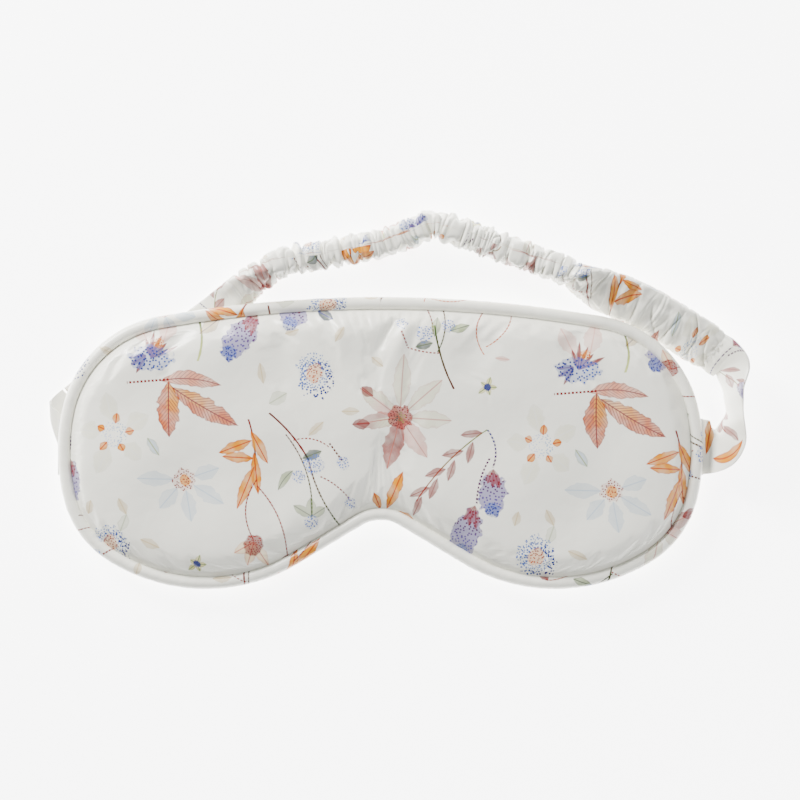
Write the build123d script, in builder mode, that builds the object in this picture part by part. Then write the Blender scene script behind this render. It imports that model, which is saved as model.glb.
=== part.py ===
from build123d import *

import os
from math import cos, radians, sin

# A padded sleep mask: two satin panels and a corded piping sewn together round a wadding core,
# with a gathered elastic strap sewn into the two end seams. It lies on a table, front panel up.
# +X runs along the mask, +Y to its forehead edge, +Z up. The origin is the middle of the mask on
# the table. All sizes are in millimetres. An inset is a distance in from the outer edge.

# Mask outline, out to the outer face of the piping
mask_width = 215.0
mask_height = 97.4
end_drop = 2.0  # the widest level, below the middle
crown_turn = 10.0  # degrees turned by the long arc of the forehead edge
shoulder_radius = 0.41 * mask_height
shoulder_turn = 78.0  # degrees turned where the shoulder arc gives way to the end arc
jowl_radius = 0.35 * mask_height
cheek_turn = 32.0  # degrees turned by the arc under the cheek
lobe_spacing = 0.54 * mask_width  # between the lowest points of the two lobes
nose_rise = 0.236 * mask_height  # top of the nose notch above the lobes
nose_radius = 12.0
nose_slope = 31.0  # degrees
half_width = mask_width / 2
crown_y = mask_height / 2

# Cloth, padding and piping
satin = 0.4
seam_height = 5.6  # the seam plane above the table
piping_diameter = 4.2
cord_clearance = 0.22
seam_allowance = 6.0
fold_slit = 0.1  # between the two layers of the piping's flange
front_edge = [(0.0, 0.0), (1.0, 2.1), (4.8, 3.7), (13.8, 4.3)]  # run in and rise of the dome
back_edge = [(0.0, 0.0), (0.6, 1.4)]  # run in and drop at the start of the back's slope
rest_run = 21.8  # run in from the seam to the flat rest area under the mask
liner_thickness = 0.3
wadding_gap = 0.2
thread_size = 0.3
thread_run = 1.15  # run in from the seam to the stitch line

# Strap ends, sewn in under the piping
root_width = 18.8
root_thickness = 0.8
root_centre_y = -1.3
root_drop = 0.3  # from the piping down to the strap end passing under it
root_height = seam_height - piping_diameter / 2 - root_drop - root_thickness / 2
root_tail = 10.0  # inset of the strap end's hidden edge
# Inset where the strap end's upper face starts to step down, clear of the piping on its curve
root_step_top = piping_diameter + 0.6 + root_width**2 / 600
root_step_run = 1.4
slot_clearance = 0.15
slot_run = root_step_top + 1.2  # inset reached by the opening that lets the strap end out
root_tack_length = 14.0
tack_width = 1.2
tack_height = 0.25
joint_gap = 0.3
split_gap = 0.4  # between the strap's back part and its sides, along x

# Gathered strap. The casing's walls are as deep as its gathers.
ruffle_width = 8.4
ruffle_height = 12.0
broad_width = 14.4
broad_thickness = 3.0
broad_lean = 30.0  # degrees from the table, the side away from the mask being the higher
flat_width = 12.0
flat_thickness = 1.7
elastic_width = 9.0
elastic_thickness = 0.9
elastic_clearance = 0.2
elastic_level = 5.4  # middle of the elastic above the table where it stands on its edge
ribbon_height = 16.5  # the right end stands on its edge
ribbon_thickness = 1.4
ribbon_line = half_width + 12.3  # distance of the standing ribbon's middle from the mask's middle
bend_radius = 12.0
corner_radius = 0.8
fold_reach = 2.3  # how far the left fold stands out past the end seam
underlap_rise = 2.8  # start of the left fold's lower leaf above the middle of the strap end
tack_place = 8.0  # from the right fold to the stitches that hold the elastic's end
hidden_tack_place = 4.0
elastic_tack_length = 9.0

# Places on the strap's route in plan, from the right fold to the left one
right_fold = (half_width + 10.9, 0.53 * crown_y)
right_bend = (0.828 * half_width, 0.922 * crown_y)
twist = (0.637 * half_width, 1.0965 * crown_y)
ruffle_bend = (0.558 * half_width, 1.197 * crown_y)
right_split_x = 0.428 * half_width
summit = (0.1655 * half_width, 1.5195 * crown_y)
back_bend = (0.0185 * half_width, 1.3635 * crown_y)
left_split_x = -0.186 * half_width
left_bend = (-0.307 * half_width, 1.2505 * crown_y)
left_flat = (-0.4185 * half_width, 1.0595 * crown_y)
left_exit = (-0.4975 * half_width, 0.932 * crown_y)
hidden_bend = (-0.7165 * half_width, 0.694 * crown_y)
hidden_corner = (13.9 - half_width, 0.456 * crown_y)
hidden_end = (5.2 - half_width, 0.279 * crown_y)

lobe_x = lobe_spacing / 2
piping_radius = piping_diameter / 2
seam_inset = piping_diameter
flange_inset = seam_inset + seam_allowance
wadding_inset = flange_inset + 2 * wadding_gap
front_base = seam_height + satin
back_base = seam_height - satin
liner_top = seam_height + liner_thickness / 2
liner_bottom = seam_height - liner_thickness / 2
root_face_x = half_width + joint_gap
tab_face_x = root_face_x + joint_gap


def outer_radii(across, along, radius, turn_a, turn_b):
    """First and last radius of a quarter turn of three tangent arcs whose middle arc is given."""
    sin_a, cos_a = sin(radians(turn_a)), cos(radians(turn_a))
    sin_b, cos_b = sin(radians(turn_b)), cos(radians(turn_b))
    right = across - radius * (sin_b - sin_a)
    up = along - radius * (cos_a - cos_b)
    scale = sin_a * cos_b - (1 - sin_b) * (1 - cos_a)
    first = (right * cos_b - up * (1 - sin_b)) / scale
    last = (up * sin_a - right * (1 - cos_a)) / scale
    return first, last


crown_radius, upper_end_radius = outer_radii(
    half_width, crown_y + end_drop, shoulder_radius, crown_turn, shoulder_turn
)
cheek_radius, lower_end_radius = outer_radii(
    half_width - lobe_x, crown_y - end_drop, jowl_radius, cheek_turn, shoulder_turn
)
slope_sin, slope_cos = sin(radians(nose_slope)), cos(radians(nose_slope))
nose_run = lobe_x - nose_radius * slope_sin
nose_climb = nose_rise - nose_radius * (1 - slope_cos)
nose_scale = slope_sin**2 - slope_cos * (1 - slope_cos)
flank_radius = (nose_run * slope_sin - nose_climb * slope_cos) / nose_scale
flank_length = (nose_climb * slope_sin - nose_run * (1 - slope_cos)) / nose_scale


def mask_edge(inset):
    """Draw the mask's outline that far in, as tangent arcs and one line a side, mirrored."""
    turns = [
        (crown_radius, crown_turn),
        (shoulder_radius, shoulder_turn - crown_turn),
        (upper_end_radius, 90 - shoulder_turn),
        (lower_end_radius, 90 - shoulder_turn),
        (jowl_radius, shoulder_turn - cheek_turn),
        (cheek_radius, cheek_turn),
        (flank_radius, nose_slope),
    ]
    place, heading = Vector(0, crown_y - inset), Vector(1, 0)
    for radius, turn in turns:
        arc = JernArc(place, heading, radius - inset, -turn)
        place, heading = arc @ 1, arc % 1
    flank = Line(place, place + heading * flank_length)
    JernArc(flank @ 1, heading, nose_radius + inset, nose_slope)
    mirror(about=Plane.YZ)


def mask_area(level, inset, inner_inset=None):
    """The area inside the outline at that inset, less the area inside a deeper one if given."""
    with BuildSketch(Plane.XY.offset(level)) as area:
        with BuildLine():
            mask_edge(inset)
        make_face()
        if inner_inset is not None:
            with BuildLine():
                mask_edge(inner_inset)
            make_face(mode=Mode.SUBTRACT)
    return area.sketch


def piping_path():
    """The closed centre line of the piping."""
    with BuildLine() as path:
        mask_edge(piping_radius)
    return Pos(0, 0, seam_height) * path.wire()


def piping_section(outer, inner=0.0):
    """A round section standing across the piping at the middle of the forehead edge."""
    place = Plane((0, crown_y - piping_radius, seam_height), x_dir=(0, 1, 0), z_dir=(1, 0, 0))
    with BuildSketch(place) as section:
        Circle(outer)
        if inner:
            Circle(inner, mode=Mode.SUBTRACT)
    return section.sketch


def dome(level, way, steps):
    """Outlines from the seam inwards for a loft; way is 1 for the front and -1 for the back."""
    return [mask_area(level + way * rise, seam_inset + run) for run, rise in steps]


def lining(steps):
    """The inner face's steps of a panel one cloth thickness inside the given outer steps."""
    inner = [(run + satin, rise - satin) for run, rise in steps]
    inner[0] = (1.2 * satin, satin)
    return inner


def route(*places):
    """A plan line through the places with its corners rounded."""
    with BuildLine() as path:
        if len(places) > 2:
            FilletPolyline(*places, radius=bend_radius)
        else:
            Line(*places)
    return path.wire()


def band_plane(path, distance=0.0):
    """The plane across a line at a distance along it, its x away from the left of travel."""
    share = distance / path.length
    along = path % share
    return Plane(path @ share, x_dir=Vector(0, 0, 1).cross(along), z_dir=along)


def band_section(path, width, height, lean=0.0):
    """A rounded section across the start of a line, leaning away from the mask."""
    with BuildSketch(band_plane(path)) as section:
        with Locations(Rot(0, 0, -lean)):
            RectangleRounded(width, height, min(corner_radius, 0.45 * min(width, height)))
    return section.sketch


def on_line(first, last, x):
    """The place at x on the straight line through two places."""
    return x, first[1] + (last[1] - first[1]) * (x - first[0]) / (last[0] - first[0])


def raised_route(level, *places):
    """The route through the places at a level above the table."""
    return Pos(0, 0, level) * route(*places)


back_steps = back_edge + [(rest_run, back_base)]
lean_sin, lean_cos = sin(radians(broad_lean)), cos(radians(broad_lean))
broad_level = (broad_width * lean_sin + broad_thickness * lean_cos) / 2
right_end = on_line(ruffle_bend, summit, right_split_x + split_gap / 2)
back_start = on_line(ruffle_bend, summit, right_split_x - split_gap / 2)
back_end = on_line(back_bend, left_bend, left_split_x + split_gap / 2)
left_start = on_line(back_bend, left_bend, left_split_x - split_gap / 2)
broad_route = raised_route(broad_level, right_fold, right_bend, twist)
right_route = raised_route(ruffle_height / 2, twist, ruffle_bend, right_end)
back_route = raised_route(ruffle_height / 2, back_start, summit, back_bend, back_end)
left_route = raised_route(ruffle_height / 2, left_start, left_bend, left_flat)
hidden_places = (left_flat, left_exit, hidden_bend, hidden_corner, hidden_end)
hidden_route = raised_route(flat_thickness / 2, *hidden_places)
elastic_drop = Pos(0, 0, elastic_level - ruffle_height / 2)

# Piping: a bias-cut satin cover folded round a cotton cord, its two flanges lying in the seam
with BuildPart() as piping_cover:
    sweep(sections=piping_section(piping_radius, piping_radius - satin), path=piping_path())
    extrude(mask_area(back_base, seam_inset - satin / 2, flange_inset), amount=2 * satin)
    extrude(
        mask_area(seam_height - fold_slit / 2, piping_radius, flange_inset + 1),
        amount=fold_slit, mode=Mode.SUBTRACT,
    )

with BuildPart() as piping_cord:
    sweep(sections=piping_section(piping_radius - satin - cord_clearance), path=piping_path())

# Panels: domed cloth with the seam allowance turned in
with BuildPart() as front_panel:
    loft(sections=dome(front_base, 1, front_edge), ruled=True)
    loft(sections=dome(front_base, 1, lining(front_edge)), ruled=True, mode=Mode.SUBTRACT)
    extrude(mask_area(front_base, flange_inset), amount=2 * satin, mode=Mode.SUBTRACT)

with BuildPart() as back_panel:
    loft(sections=dome(back_base, -1, back_steps), ruled=True)
    loft(sections=dome(back_base, -1, lining(back_steps)), ruled=True, mode=Mode.SUBTRACT)
    extrude(mask_area(back_base, flange_inset), amount=-2 * satin, mode=Mode.SUBTRACT)
    with Locations((0, root_centre_y, back_base)):
        for side in (-1, 1):
            with Locations((side * (half_width - slot_run), 0, 0)):
                Box(
                    4 * slot_run, root_width + 2 * slot_clearance, 2 * back_base,
                    align=(Align.MIN if side > 0 else Align.MAX, Align.CENTER, Align.CENTER),
                    mode=Mode.SUBTRACT,
                )
            with Locations((side * (half_width - flange_inset - 1), 0, 0)):
                Box(
                    2 * flange_inset, root_width + 2 * slot_clearance,
                    2 * (root_thickness + slot_clearance),
                    align=(Align.MIN if side > 0 else Align.MAX, Align.CENTER, Align.CENTER),
                    mode=Mode.SUBTRACT,
                )

# Needle thread lying on the front seam allowance, bobbin thread under the back one
with BuildPart() as seam_thread:
    stitch_inset = seam_inset + thread_run
    extrude(
        mask_area(front_base + satin, stitch_inset, stitch_inset + thread_size), amount=thread_size
    )
    extrude(
        mask_area(back_base - satin, stitch_inset, stitch_inset + thread_size), amount=-thread_size
    )
    with Locations((0, root_centre_y, back_base)):
        Box(
            mask_width, root_width + 2 * slot_clearance, 2 * (satin + 2 * thread_size),
            mode=Mode.SUBTRACT,
        )

# Filling: a light-tight liner between two layers of wadding
with BuildPart() as blackout_liner:
    extrude(mask_area(liner_bottom, wadding_inset), amount=liner_thickness)

with BuildPart() as front_wadding:
    crown_run, crown_rise = lining(front_edge)[-1]
    bulge_run, bulge_rise = lining(front_edge)[-2]
    lip = front_base + satin + thread_size + wadding_gap
    extrude(mask_area(liner_top, wadding_inset), amount=lip - liner_top)
    loft(
        sections=[
            mask_area(lip, seam_inset + bulge_run / 2 - wadding_gap),
            mask_area(front_base + bulge_rise / 2 + wadding_gap, seam_inset + bulge_run / 2),
            mask_area(front_base + bulge_rise - wadding_gap, seam_inset + bulge_run),
            mask_area(front_base + crown_rise, seam_inset + crown_run + wadding_gap),
        ],
        ruled=True,
    )

with BuildPart() as back_wadding:
    slope_run, slope_drop = lining(back_steps)[1]
    base_run, base_drop = lining(back_steps)[-1]
    side_drop = slope_drop + (base_drop - slope_drop) * (
        (wadding_inset - seam_inset - slope_run) / (base_run - slope_run)
    )
    loft(
        sections=[
            mask_area(liner_bottom, wadding_inset),
            mask_area(back_base - side_drop + wadding_gap, wadding_inset),
            mask_area(back_base - base_drop, seam_inset + base_run + wadding_gap),
        ],
        ruled=True,
    )

# Strap ends: caught between the piping's flange and the back panel, then down under the piping
root_top = root_height + root_thickness / 2
step_end = root_step_top - root_step_run
root_profile = [
    (half_width - root_tail, back_base),
    (half_width - root_step_top, back_base),
    (half_width - step_end, root_top),
    (root_face_x, root_top),
    (root_face_x, root_top - root_thickness),
    (half_width - step_end - root_thickness / 2, root_top - root_thickness),
    (half_width - root_step_top - root_thickness / 2, back_base - root_thickness),
    (half_width - root_tail, back_base - root_thickness),
]
root_plane = Plane((0, root_centre_y, 0), x_dir=(1, 0, 0), z_dir=(0, -1, 0))

with BuildPart() as strap_root_right:
    with BuildSketch(root_plane):
        Polygon(*root_profile, align=None)
    extrude(amount=root_width / 2, both=True)

with BuildPart() as strap_root_left:
    with BuildSketch(root_plane):
        Polygon(*[(-x, z) for x, z in reversed(root_profile)], align=None)
    extrude(amount=root_width / 2, both=True)

tack_x = half_width - root_tail + tack_width

with BuildPart() as root_tack_right:
    with Locations((tack_x, root_centre_y, back_base - root_thickness)):
        Box(tack_width, root_tack_length, tack_height, align=(Align.CENTER, Align.CENTER, Align.MAX))

with BuildPart() as root_tack_left:
    with Locations((-tack_x, root_centre_y, back_base - root_thickness)):
        Box(tack_width, root_tack_length, tack_height, align=(Align.CENTER, Align.CENTER, Align.MAX))

# Right end of the strap: flat at the seam, then standing on its edge up to the fold
root_low_y = root_centre_y - root_width / 2
root_high_y = root_centre_y + root_width / 2
ribbon_in = ribbon_line - ribbon_thickness / 2
ribbon_out = ribbon_line + ribbon_thickness / 2

with BuildPart() as strap_tab_right:
    fold_start, fold_along = broad_route @ 0, broad_route % 0
    fold_slope = -fold_along.X / fold_along.Y
    with BuildSketch(Plane.XY.offset(root_top - root_thickness)):
        Polygon(
            (tab_face_x, root_low_y), (ribbon_in, root_low_y + bend_radius / 2),
            (ribbon_in, root_high_y), (tab_face_x, root_high_y), align=None,
        )
    extrude(amount=root_thickness)
    with BuildSketch():
        Polygon(
            (ribbon_in, root_low_y + bend_radius / 2),
            (ribbon_out, root_centre_y),
            (ribbon_out, fold_start.Y + (ribbon_out - fold_start.X) * fold_slope),
            (ribbon_in, fold_start.Y + (ribbon_in - fold_start.X) * fold_slope),
            align=None,
        )
    extrude(amount=ribbon_height)

# Left end: out of the seam, over the fold and back under the mask
fold_x = half_width + fold_reach
underlap_y = root_centre_y + underlap_rise

with BuildPart() as strap_tab_left:
    leaf_end, leaf_along = hidden_route @ 1, hidden_route % 1
    leaf_across = Vector(0, 0, 1).cross(leaf_along) * (flat_width / 2)
    far, near = leaf_end - leaf_across, leaf_end + leaf_across
    with BuildSketch(Plane.XY.offset(root_top - root_thickness)):
        Polygon(
            (-tab_face_x, root_low_y), (-tab_face_x, root_high_y),
            (-fold_x, root_high_y), (-fold_x, root_centre_y), align=None,
        )
    extrude(amount=root_thickness)
    with BuildSketch():
        Polygon(
            (-fold_x, underlap_y), (-fold_x, far.Y - flat_thickness), (far.X, far.Y),
            (near.X, near.Y), (near.X - flat_thickness, underlap_y), align=None,
        )
    extrude(amount=2 * root_thickness)
    with BuildSketch():
        Polygon(
            (-fold_x, underlap_y), (-fold_x, root_high_y), (-tab_face_x, root_high_y),
            (-tab_face_x, underlap_y), align=None,
        )
    extrude(amount=root_top)

# Gathered casing with the elastic inside it
slack = 2 * elastic_clearance
casing_upright = (ruffle_width, ruffle_height)
casing_broad = (broad_width, broad_thickness, broad_lean)
casing_flat = (flat_width, flat_thickness)
room_upright = (elastic_thickness + slack, elastic_width + slack)
room_broad = (elastic_width + slack, elastic_thickness + slack, broad_lean)
room_flat = (elastic_width + slack, elastic_thickness + slack)

with BuildPart() as strap_casing_right:
    sweep(sections=band_section(broad_route, *casing_broad), path=broad_route)
    sweep(sections=band_section(right_route, *casing_upright), path=right_route)
    room_route = elastic_drop * right_route
    sweep(sections=band_section(broad_route, *room_broad), path=broad_route, mode=Mode.SUBTRACT)
    sweep(sections=band_section(room_route, *room_upright), path=room_route, mode=Mode.SUBTRACT)

with BuildPart() as strap_casing_back:
    sweep(sections=band_section(back_route, *casing_upright), path=back_route)
    room_route = elastic_drop * back_route
    sweep(sections=band_section(room_route, *room_upright), path=room_route, mode=Mode.SUBTRACT)

with BuildPart() as strap_casing_left:
    sweep(sections=band_section(left_route, *casing_upright), path=left_route)
    sweep(sections=band_section(hidden_route, *casing_flat), path=hidden_route)
    room_route = elastic_drop * left_route
    sweep(sections=band_section(room_route, *room_upright), path=room_route, mode=Mode.SUBTRACT)
    sweep(sections=band_section(hidden_route, *room_flat), path=hidden_route, mode=Mode.SUBTRACT)

with BuildPart() as elastic_right:
    sweep(
        sections=band_section(broad_route, elastic_width, elastic_thickness, broad_lean),
        path=broad_route,
    )
    room_route = elastic_drop * right_route
    sweep(sections=band_section(room_route, elastic_thickness, elastic_width), path=room_route)

with BuildPart() as elastic_back:
    room_route = elastic_drop * back_route
    sweep(sections=band_section(room_route, elastic_thickness, elastic_width), path=room_route)

with BuildPart() as elastic_left:
    room_route = elastic_drop * left_route
    sweep(sections=band_section(room_route, elastic_thickness, elastic_width), path=room_route)
    sweep(sections=band_section(hidden_route, elastic_width, elastic_thickness), path=hidden_route)

# Rows of stitches across the casing that hold the elastic's two ends
with BuildPart() as elastic_tack_right:
    with Locations(band_plane(broad_route, tack_place)):
        with Locations(Rot(0, 0, -broad_lean)):
            with Locations((0, broad_thickness / 2, 0)):
                Box(
                    elastic_tack_length, tack_height, tack_width,
                    align=(Align.CENTER, Align.MIN, Align.CENTER),
                )

with BuildPart() as elastic_tack_left:
    with Locations(band_plane(hidden_route, hidden_route.length - hidden_tack_place)):
        with Locations((0, flat_thickness / 2, 0)):
            Box(
                elastic_tack_length, tack_height, tack_width,
                align=(Align.CENTER, Align.MIN, Align.CENTER),
            )

os.makedirs("parts", exist_ok=True)
piping_cover.part.label = "piping_cover"
export_step(piping_cover.part, "parts/piping_cover.step")
piping_cord.part.label = "piping_cord"
export_step(piping_cord.part, "parts/piping_cord.step")
front_panel.part.label = "front_panel"
export_step(front_panel.part, "parts/front_panel.step")
back_panel.part.label = "back_panel"
export_step(back_panel.part, "parts/back_panel.step")
seam_thread.part.label = "seam_thread"
export_step(seam_thread.part, "parts/seam_thread.step")
blackout_liner.part.label = "blackout_liner"
export_step(blackout_liner.part, "parts/blackout_liner.step")
front_wadding.part.label = "front_wadding"
export_step(front_wadding.part, "parts/front_wadding.step")
back_wadding.part.label = "back_wadding"
export_step(back_wadding.part, "parts/back_wadding.step")
strap_root_right.part.label = "strap_root_right"
export_step(strap_root_right.part, "parts/strap_root_right.step")
strap_root_left.part.label = "strap_root_left"
export_step(strap_root_left.part, "parts/strap_root_left.step")
root_tack_right.part.label = "root_tack_right"
export_step(root_tack_right.part, "parts/root_tack_right.step")
root_tack_left.part.label = "root_tack_left"
export_step(root_tack_left.part, "parts/root_tack_left.step")
strap_tab_right.part.label = "strap_tab_right"
export_step(strap_tab_right.part, "parts/strap_tab_right.step")
strap_tab_left.part.label = "strap_tab_left"
export_step(strap_tab_left.part, "parts/strap_tab_left.step")
strap_casing_right.part.label = "strap_casing_right"
export_step(strap_casing_right.part, "parts/strap_casing_right.step")
strap_casing_back.part.label = "strap_casing_back"
export_step(strap_casing_back.part, "parts/strap_casing_back.step")
strap_casing_left.part.label = "strap_casing_left"
export_step(strap_casing_left.part, "parts/strap_casing_left.step")
elastic_right.part.label = "elastic_right"
export_step(elastic_right.part, "parts/elastic_right.step")
elastic_back.part.label = "elastic_back"
export_step(elastic_back.part, "parts/elastic_back.step")
elastic_left.part.label = "elastic_left"
export_step(elastic_left.part, "parts/elastic_left.step")
elastic_tack_right.part.label = "elastic_tack_right"
export_step(elastic_tack_right.part, "parts/elastic_tack_right.step")
elastic_tack_left.part.label = "elastic_tack_left"
export_step(elastic_tack_left.part, "parts/elastic_tack_left.step")
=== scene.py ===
"""A printed satin sleep mask built round its packed frame: panels, piping, wadding, gathered strap."""

import math

import bpy
import numpy as np
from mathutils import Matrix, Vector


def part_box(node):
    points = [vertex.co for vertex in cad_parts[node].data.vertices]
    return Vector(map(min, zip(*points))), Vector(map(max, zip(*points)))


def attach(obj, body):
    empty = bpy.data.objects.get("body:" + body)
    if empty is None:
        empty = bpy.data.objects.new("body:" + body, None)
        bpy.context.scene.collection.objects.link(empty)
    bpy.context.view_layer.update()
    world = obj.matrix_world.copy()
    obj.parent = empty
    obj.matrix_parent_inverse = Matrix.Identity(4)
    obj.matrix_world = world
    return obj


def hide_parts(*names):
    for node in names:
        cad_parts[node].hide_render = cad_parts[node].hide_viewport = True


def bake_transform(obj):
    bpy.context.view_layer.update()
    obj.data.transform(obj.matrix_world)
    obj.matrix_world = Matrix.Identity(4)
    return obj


bl_info = {
    "name": "Satin Sleep Mask",
    "version": (1, 0, 0),
    "blender": (4, 5, 0),
    "location": "3D View > Sidebar > Sleep Mask",
    "description": "Builds the soft pieces of a padded sleep mask round its frame",
    "category": "Add Mesh",
}

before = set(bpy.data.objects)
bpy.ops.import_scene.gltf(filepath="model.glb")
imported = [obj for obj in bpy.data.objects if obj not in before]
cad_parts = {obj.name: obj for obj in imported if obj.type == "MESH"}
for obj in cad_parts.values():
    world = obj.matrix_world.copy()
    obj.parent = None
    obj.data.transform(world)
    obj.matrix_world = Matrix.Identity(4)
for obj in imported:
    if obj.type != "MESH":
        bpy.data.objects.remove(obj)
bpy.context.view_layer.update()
MM = 0.001

# ---------------------------------------------------------------------------------------------
# Sizes taken from the frame
# ---------------------------------------------------------------------------------------------
piping_low, piping_high = (np.array(v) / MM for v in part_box("piping_cover"))
HALF_WIDTH = piping_high[0]
CROWN_Y = piping_high[1]
PIPING_RADIUS = (piping_high[2] - piping_low[2]) / 2
SEAM_Z = (piping_high[2] + piping_low[2]) / 2
PANEL_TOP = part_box("front_panel")[1][2] / MM
SEAM_INSET = 2 * PIPING_RADIUS

# The outline's proportions, as in the frame
END_DROP = 2.0
CROWN_TURN, SHOULDER_TURN, CHEEK_TURN, NOSE_SLOPE = 10.0, 78.0, 32.0, 31.0
SHOULDER_RADIUS, JOWL_RADIUS, NOSE_RADIUS = 0.82 * CROWN_Y, 0.7 * CROWN_Y, 12.0
LOBE_X, NOSE_RISE = 0.54 * HALF_WIDTH, 0.472 * CROWN_Y
OUTLINE_STEP = 0.1


def outer_radii(across, along, radius, turn_a, turn_b):
    """First and last radius of a quarter turn of three tangent arcs whose middle arc is given."""
    sin_a, cos_a = math.sin(math.radians(turn_a)), math.cos(math.radians(turn_a))
    sin_b, cos_b = math.sin(math.radians(turn_b)), math.cos(math.radians(turn_b))
    right = across - radius * (sin_b - sin_a)
    up = along - radius * (cos_a - cos_b)
    scale = sin_a * cos_b - (1 - sin_b) * (1 - cos_a)
    return (right * cos_b - up * (1 - sin_b)) / scale, (up * sin_a - right * (1 - cos_a)) / scale


def outline_samples():
    """The mask's outer edge, clockwise from the middle of the forehead edge, 0.1 mm apart: places
    and outward directions. Its heading is a run of straight ramps of arc length, one for each arc,
    and the edge is that heading's integral; the left half mirrors the right."""
    crown, upper_end = outer_radii(
        HALF_WIDTH, CROWN_Y + END_DROP, SHOULDER_RADIUS, CROWN_TURN, SHOULDER_TURN
    )
    cheek, lower_end = outer_radii(
        HALF_WIDTH - LOBE_X, CROWN_Y - END_DROP, JOWL_RADIUS, CHEEK_TURN, SHOULDER_TURN
    )
    rise, run = math.sin(math.radians(NOSE_SLOPE)), math.cos(math.radians(NOSE_SLOPE))
    across, climb = LOBE_X - NOSE_RADIUS * rise, NOSE_RISE - NOSE_RADIUS * (1 - run)
    scale = rise**2 - run * (1 - run)
    flank = (across * rise - climb * run) / scale
    straight = (climb * rise - across * (1 - run)) / scale
    arcs = [
        (crown, -CROWN_TURN), (SHOULDER_RADIUS, CROWN_TURN - SHOULDER_TURN),
        (upper_end, SHOULDER_TURN - 90), (lower_end, SHOULDER_TURN - 90),
        (JOWL_RADIUS, CHEEK_TURN - SHOULDER_TURN), (cheek, -CHEEK_TURN), (flank, -NOSE_SLOPE),
    ]
    lengths = [radius * math.radians(abs(turn)) for radius, turn in arcs]
    lengths += [straight, NOSE_RADIUS * math.radians(NOSE_SLOPE)]
    turns = [turn for _, turn in arcs] + [0.0, NOSE_SLOPE]
    knots = np.concatenate([[0], np.cumsum(lengths)])
    headings = np.radians(np.concatenate([[0], np.cumsum(turns)]))
    s = np.linspace(0, knots[-1], int(knots[-1] / OUTLINE_STEP) + 1)
    middle = (s[1:] + s[:-1]) / 2
    heading = np.interp(middle, knots, headings)
    step = np.diff(s)
    x = np.concatenate([[0], np.cumsum(np.cos(heading) * step)])
    y = CROWN_Y + np.concatenate([[0], np.cumsum(np.sin(heading) * step)])
    angle = np.interp(s, knots, headings)
    out = np.stack([-np.sin(angle), np.cos(angle)], 1)
    half = np.stack([x, y], 1)
    flip = np.array([-1.0, 1.0])
    return np.concatenate([half, (half * flip)[-2:0:-1]]), np.concatenate([out, (out * flip)[-2:0:-1]])


EDGE, EDGE_OUT = outline_samples()
EDGE_LENGTH = float(np.hypot(*np.diff(np.vstack([EDGE, EDGE[:1]]), axis=0).T).sum())
HEART = np.array([0.0, 8.0])  # every place on the outline is in plain sight from here


def edge_at(share, inset):
    """Places that share of the way round the outline and an inset in from it, with outward
    directions. Share and inset are arrays of one shape."""
    count = len(EDGE)
    place = np.mod(share, 1.0) * count
    low = np.floor(place).astype(int) % count
    high = (low + 1) % count
    mix = (place - np.floor(place))[..., None]
    out = EDGE_OUT[low] * (1 - mix) + EDGE_OUT[high] * mix
    out /= np.linalg.norm(out, axis=-1, keepdims=True)
    return EDGE[low] * (1 - mix) + EDGE[high] * mix - out * inset[..., None], out


def inset_of(xy):
    """Distance of each place in from the outer edge, by the nearest of the outline's samples."""
    flat = xy.reshape(-1, 2)
    edge = EDGE[::4]
    parts = [
        np.sqrt(((part[:, None] - edge[None]) ** 2).sum(-1).min(1))
        for part in np.array_split(flat, max(1, len(flat) // 2000))
    ]
    return np.concatenate(parts).reshape(xy.shape[:-1])


def patch(columns, rows, inset):
    """A grid of places that fills the outline drawn that far in. A square grid is pressed into a
    disc, u = a sqrt(1 - b^2 / 2) and v = b sqrt(1 - a^2 / 2), and each ray of the disc is then
    stretched to reach the outline."""
    ring = EDGE - EDGE_OUT * inset - HEART
    bearing, reach = np.arctan2(ring[:, 1], ring[:, 0]), np.hypot(*ring.T)
    order = np.argsort(bearing)
    a, b = np.meshgrid(np.linspace(-1, 1, columns), np.linspace(-1, 1, rows))
    u, v = a * np.sqrt(1 - b**2 / 2), b * np.sqrt(1 - a**2 / 2)
    share, angle = np.hypot(u, v), np.arctan2(v * 0.5, u)
    r = share * np.interp(angle, bearing[order], reach[order], period=2 * math.pi)
    return HEART + np.stack([r * np.cos(angle), r * np.sin(angle)], -1)


# ---------------------------------------------------------------------------------------------
# Mesh helpers
# ---------------------------------------------------------------------------------------------
def grid_faces(rows, columns, wrap_rows=False, wrap_columns=False):
    """Quads of a grid of vertices stored row by row, closed on itself where asked."""
    i = np.arange(rows if wrap_rows else rows - 1)[:, None]
    j = np.arange(columns if wrap_columns else columns - 1)[None, :]
    i2, j2 = (i + 1) % rows, (j + 1) % columns
    return np.stack(
        [i * columns + j, i * columns + j2, i2 * columns + j2, i2 * columns + j], -1
    ).reshape(-1, 4)


def make_mesh(name, points, faces, uv=None, smooth=True):
    """An object from places in millimetres and faces; uv holds one cloth place per vertex, in
    metres."""
    mesh = bpy.data.meshes.new(name)
    mesh.from_pydata((points.reshape(-1, 3) * MM).tolist(), [], [list(f) for f in faces])
    if smooth:
        mesh.polygons.foreach_set("use_smooth", np.ones(len(mesh.polygons), bool))
    if uv is not None:
        layer = mesh.uv_layers.new(name="Cloth")
        corner = np.empty(len(mesh.loops), np.int32)
        mesh.loops.foreach_get("vertex_index", corner)
        layer.data.foreach_set("uv", uv.reshape(-1, 2)[corner].astype(np.float32).ravel())
    mesh.update()
    obj = bpy.data.objects.new(name, mesh)
    bpy.context.scene.collection.objects.link(obj)
    return obj


def finish_with(obj, modifier, **values):
    """Adds a modifier with the given settings and applies it."""
    added = obj.modifiers.new(modifier.title(), modifier)
    for key, value in values.items():
        setattr(added, key, value)
    apply_modifiers(obj)


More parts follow.
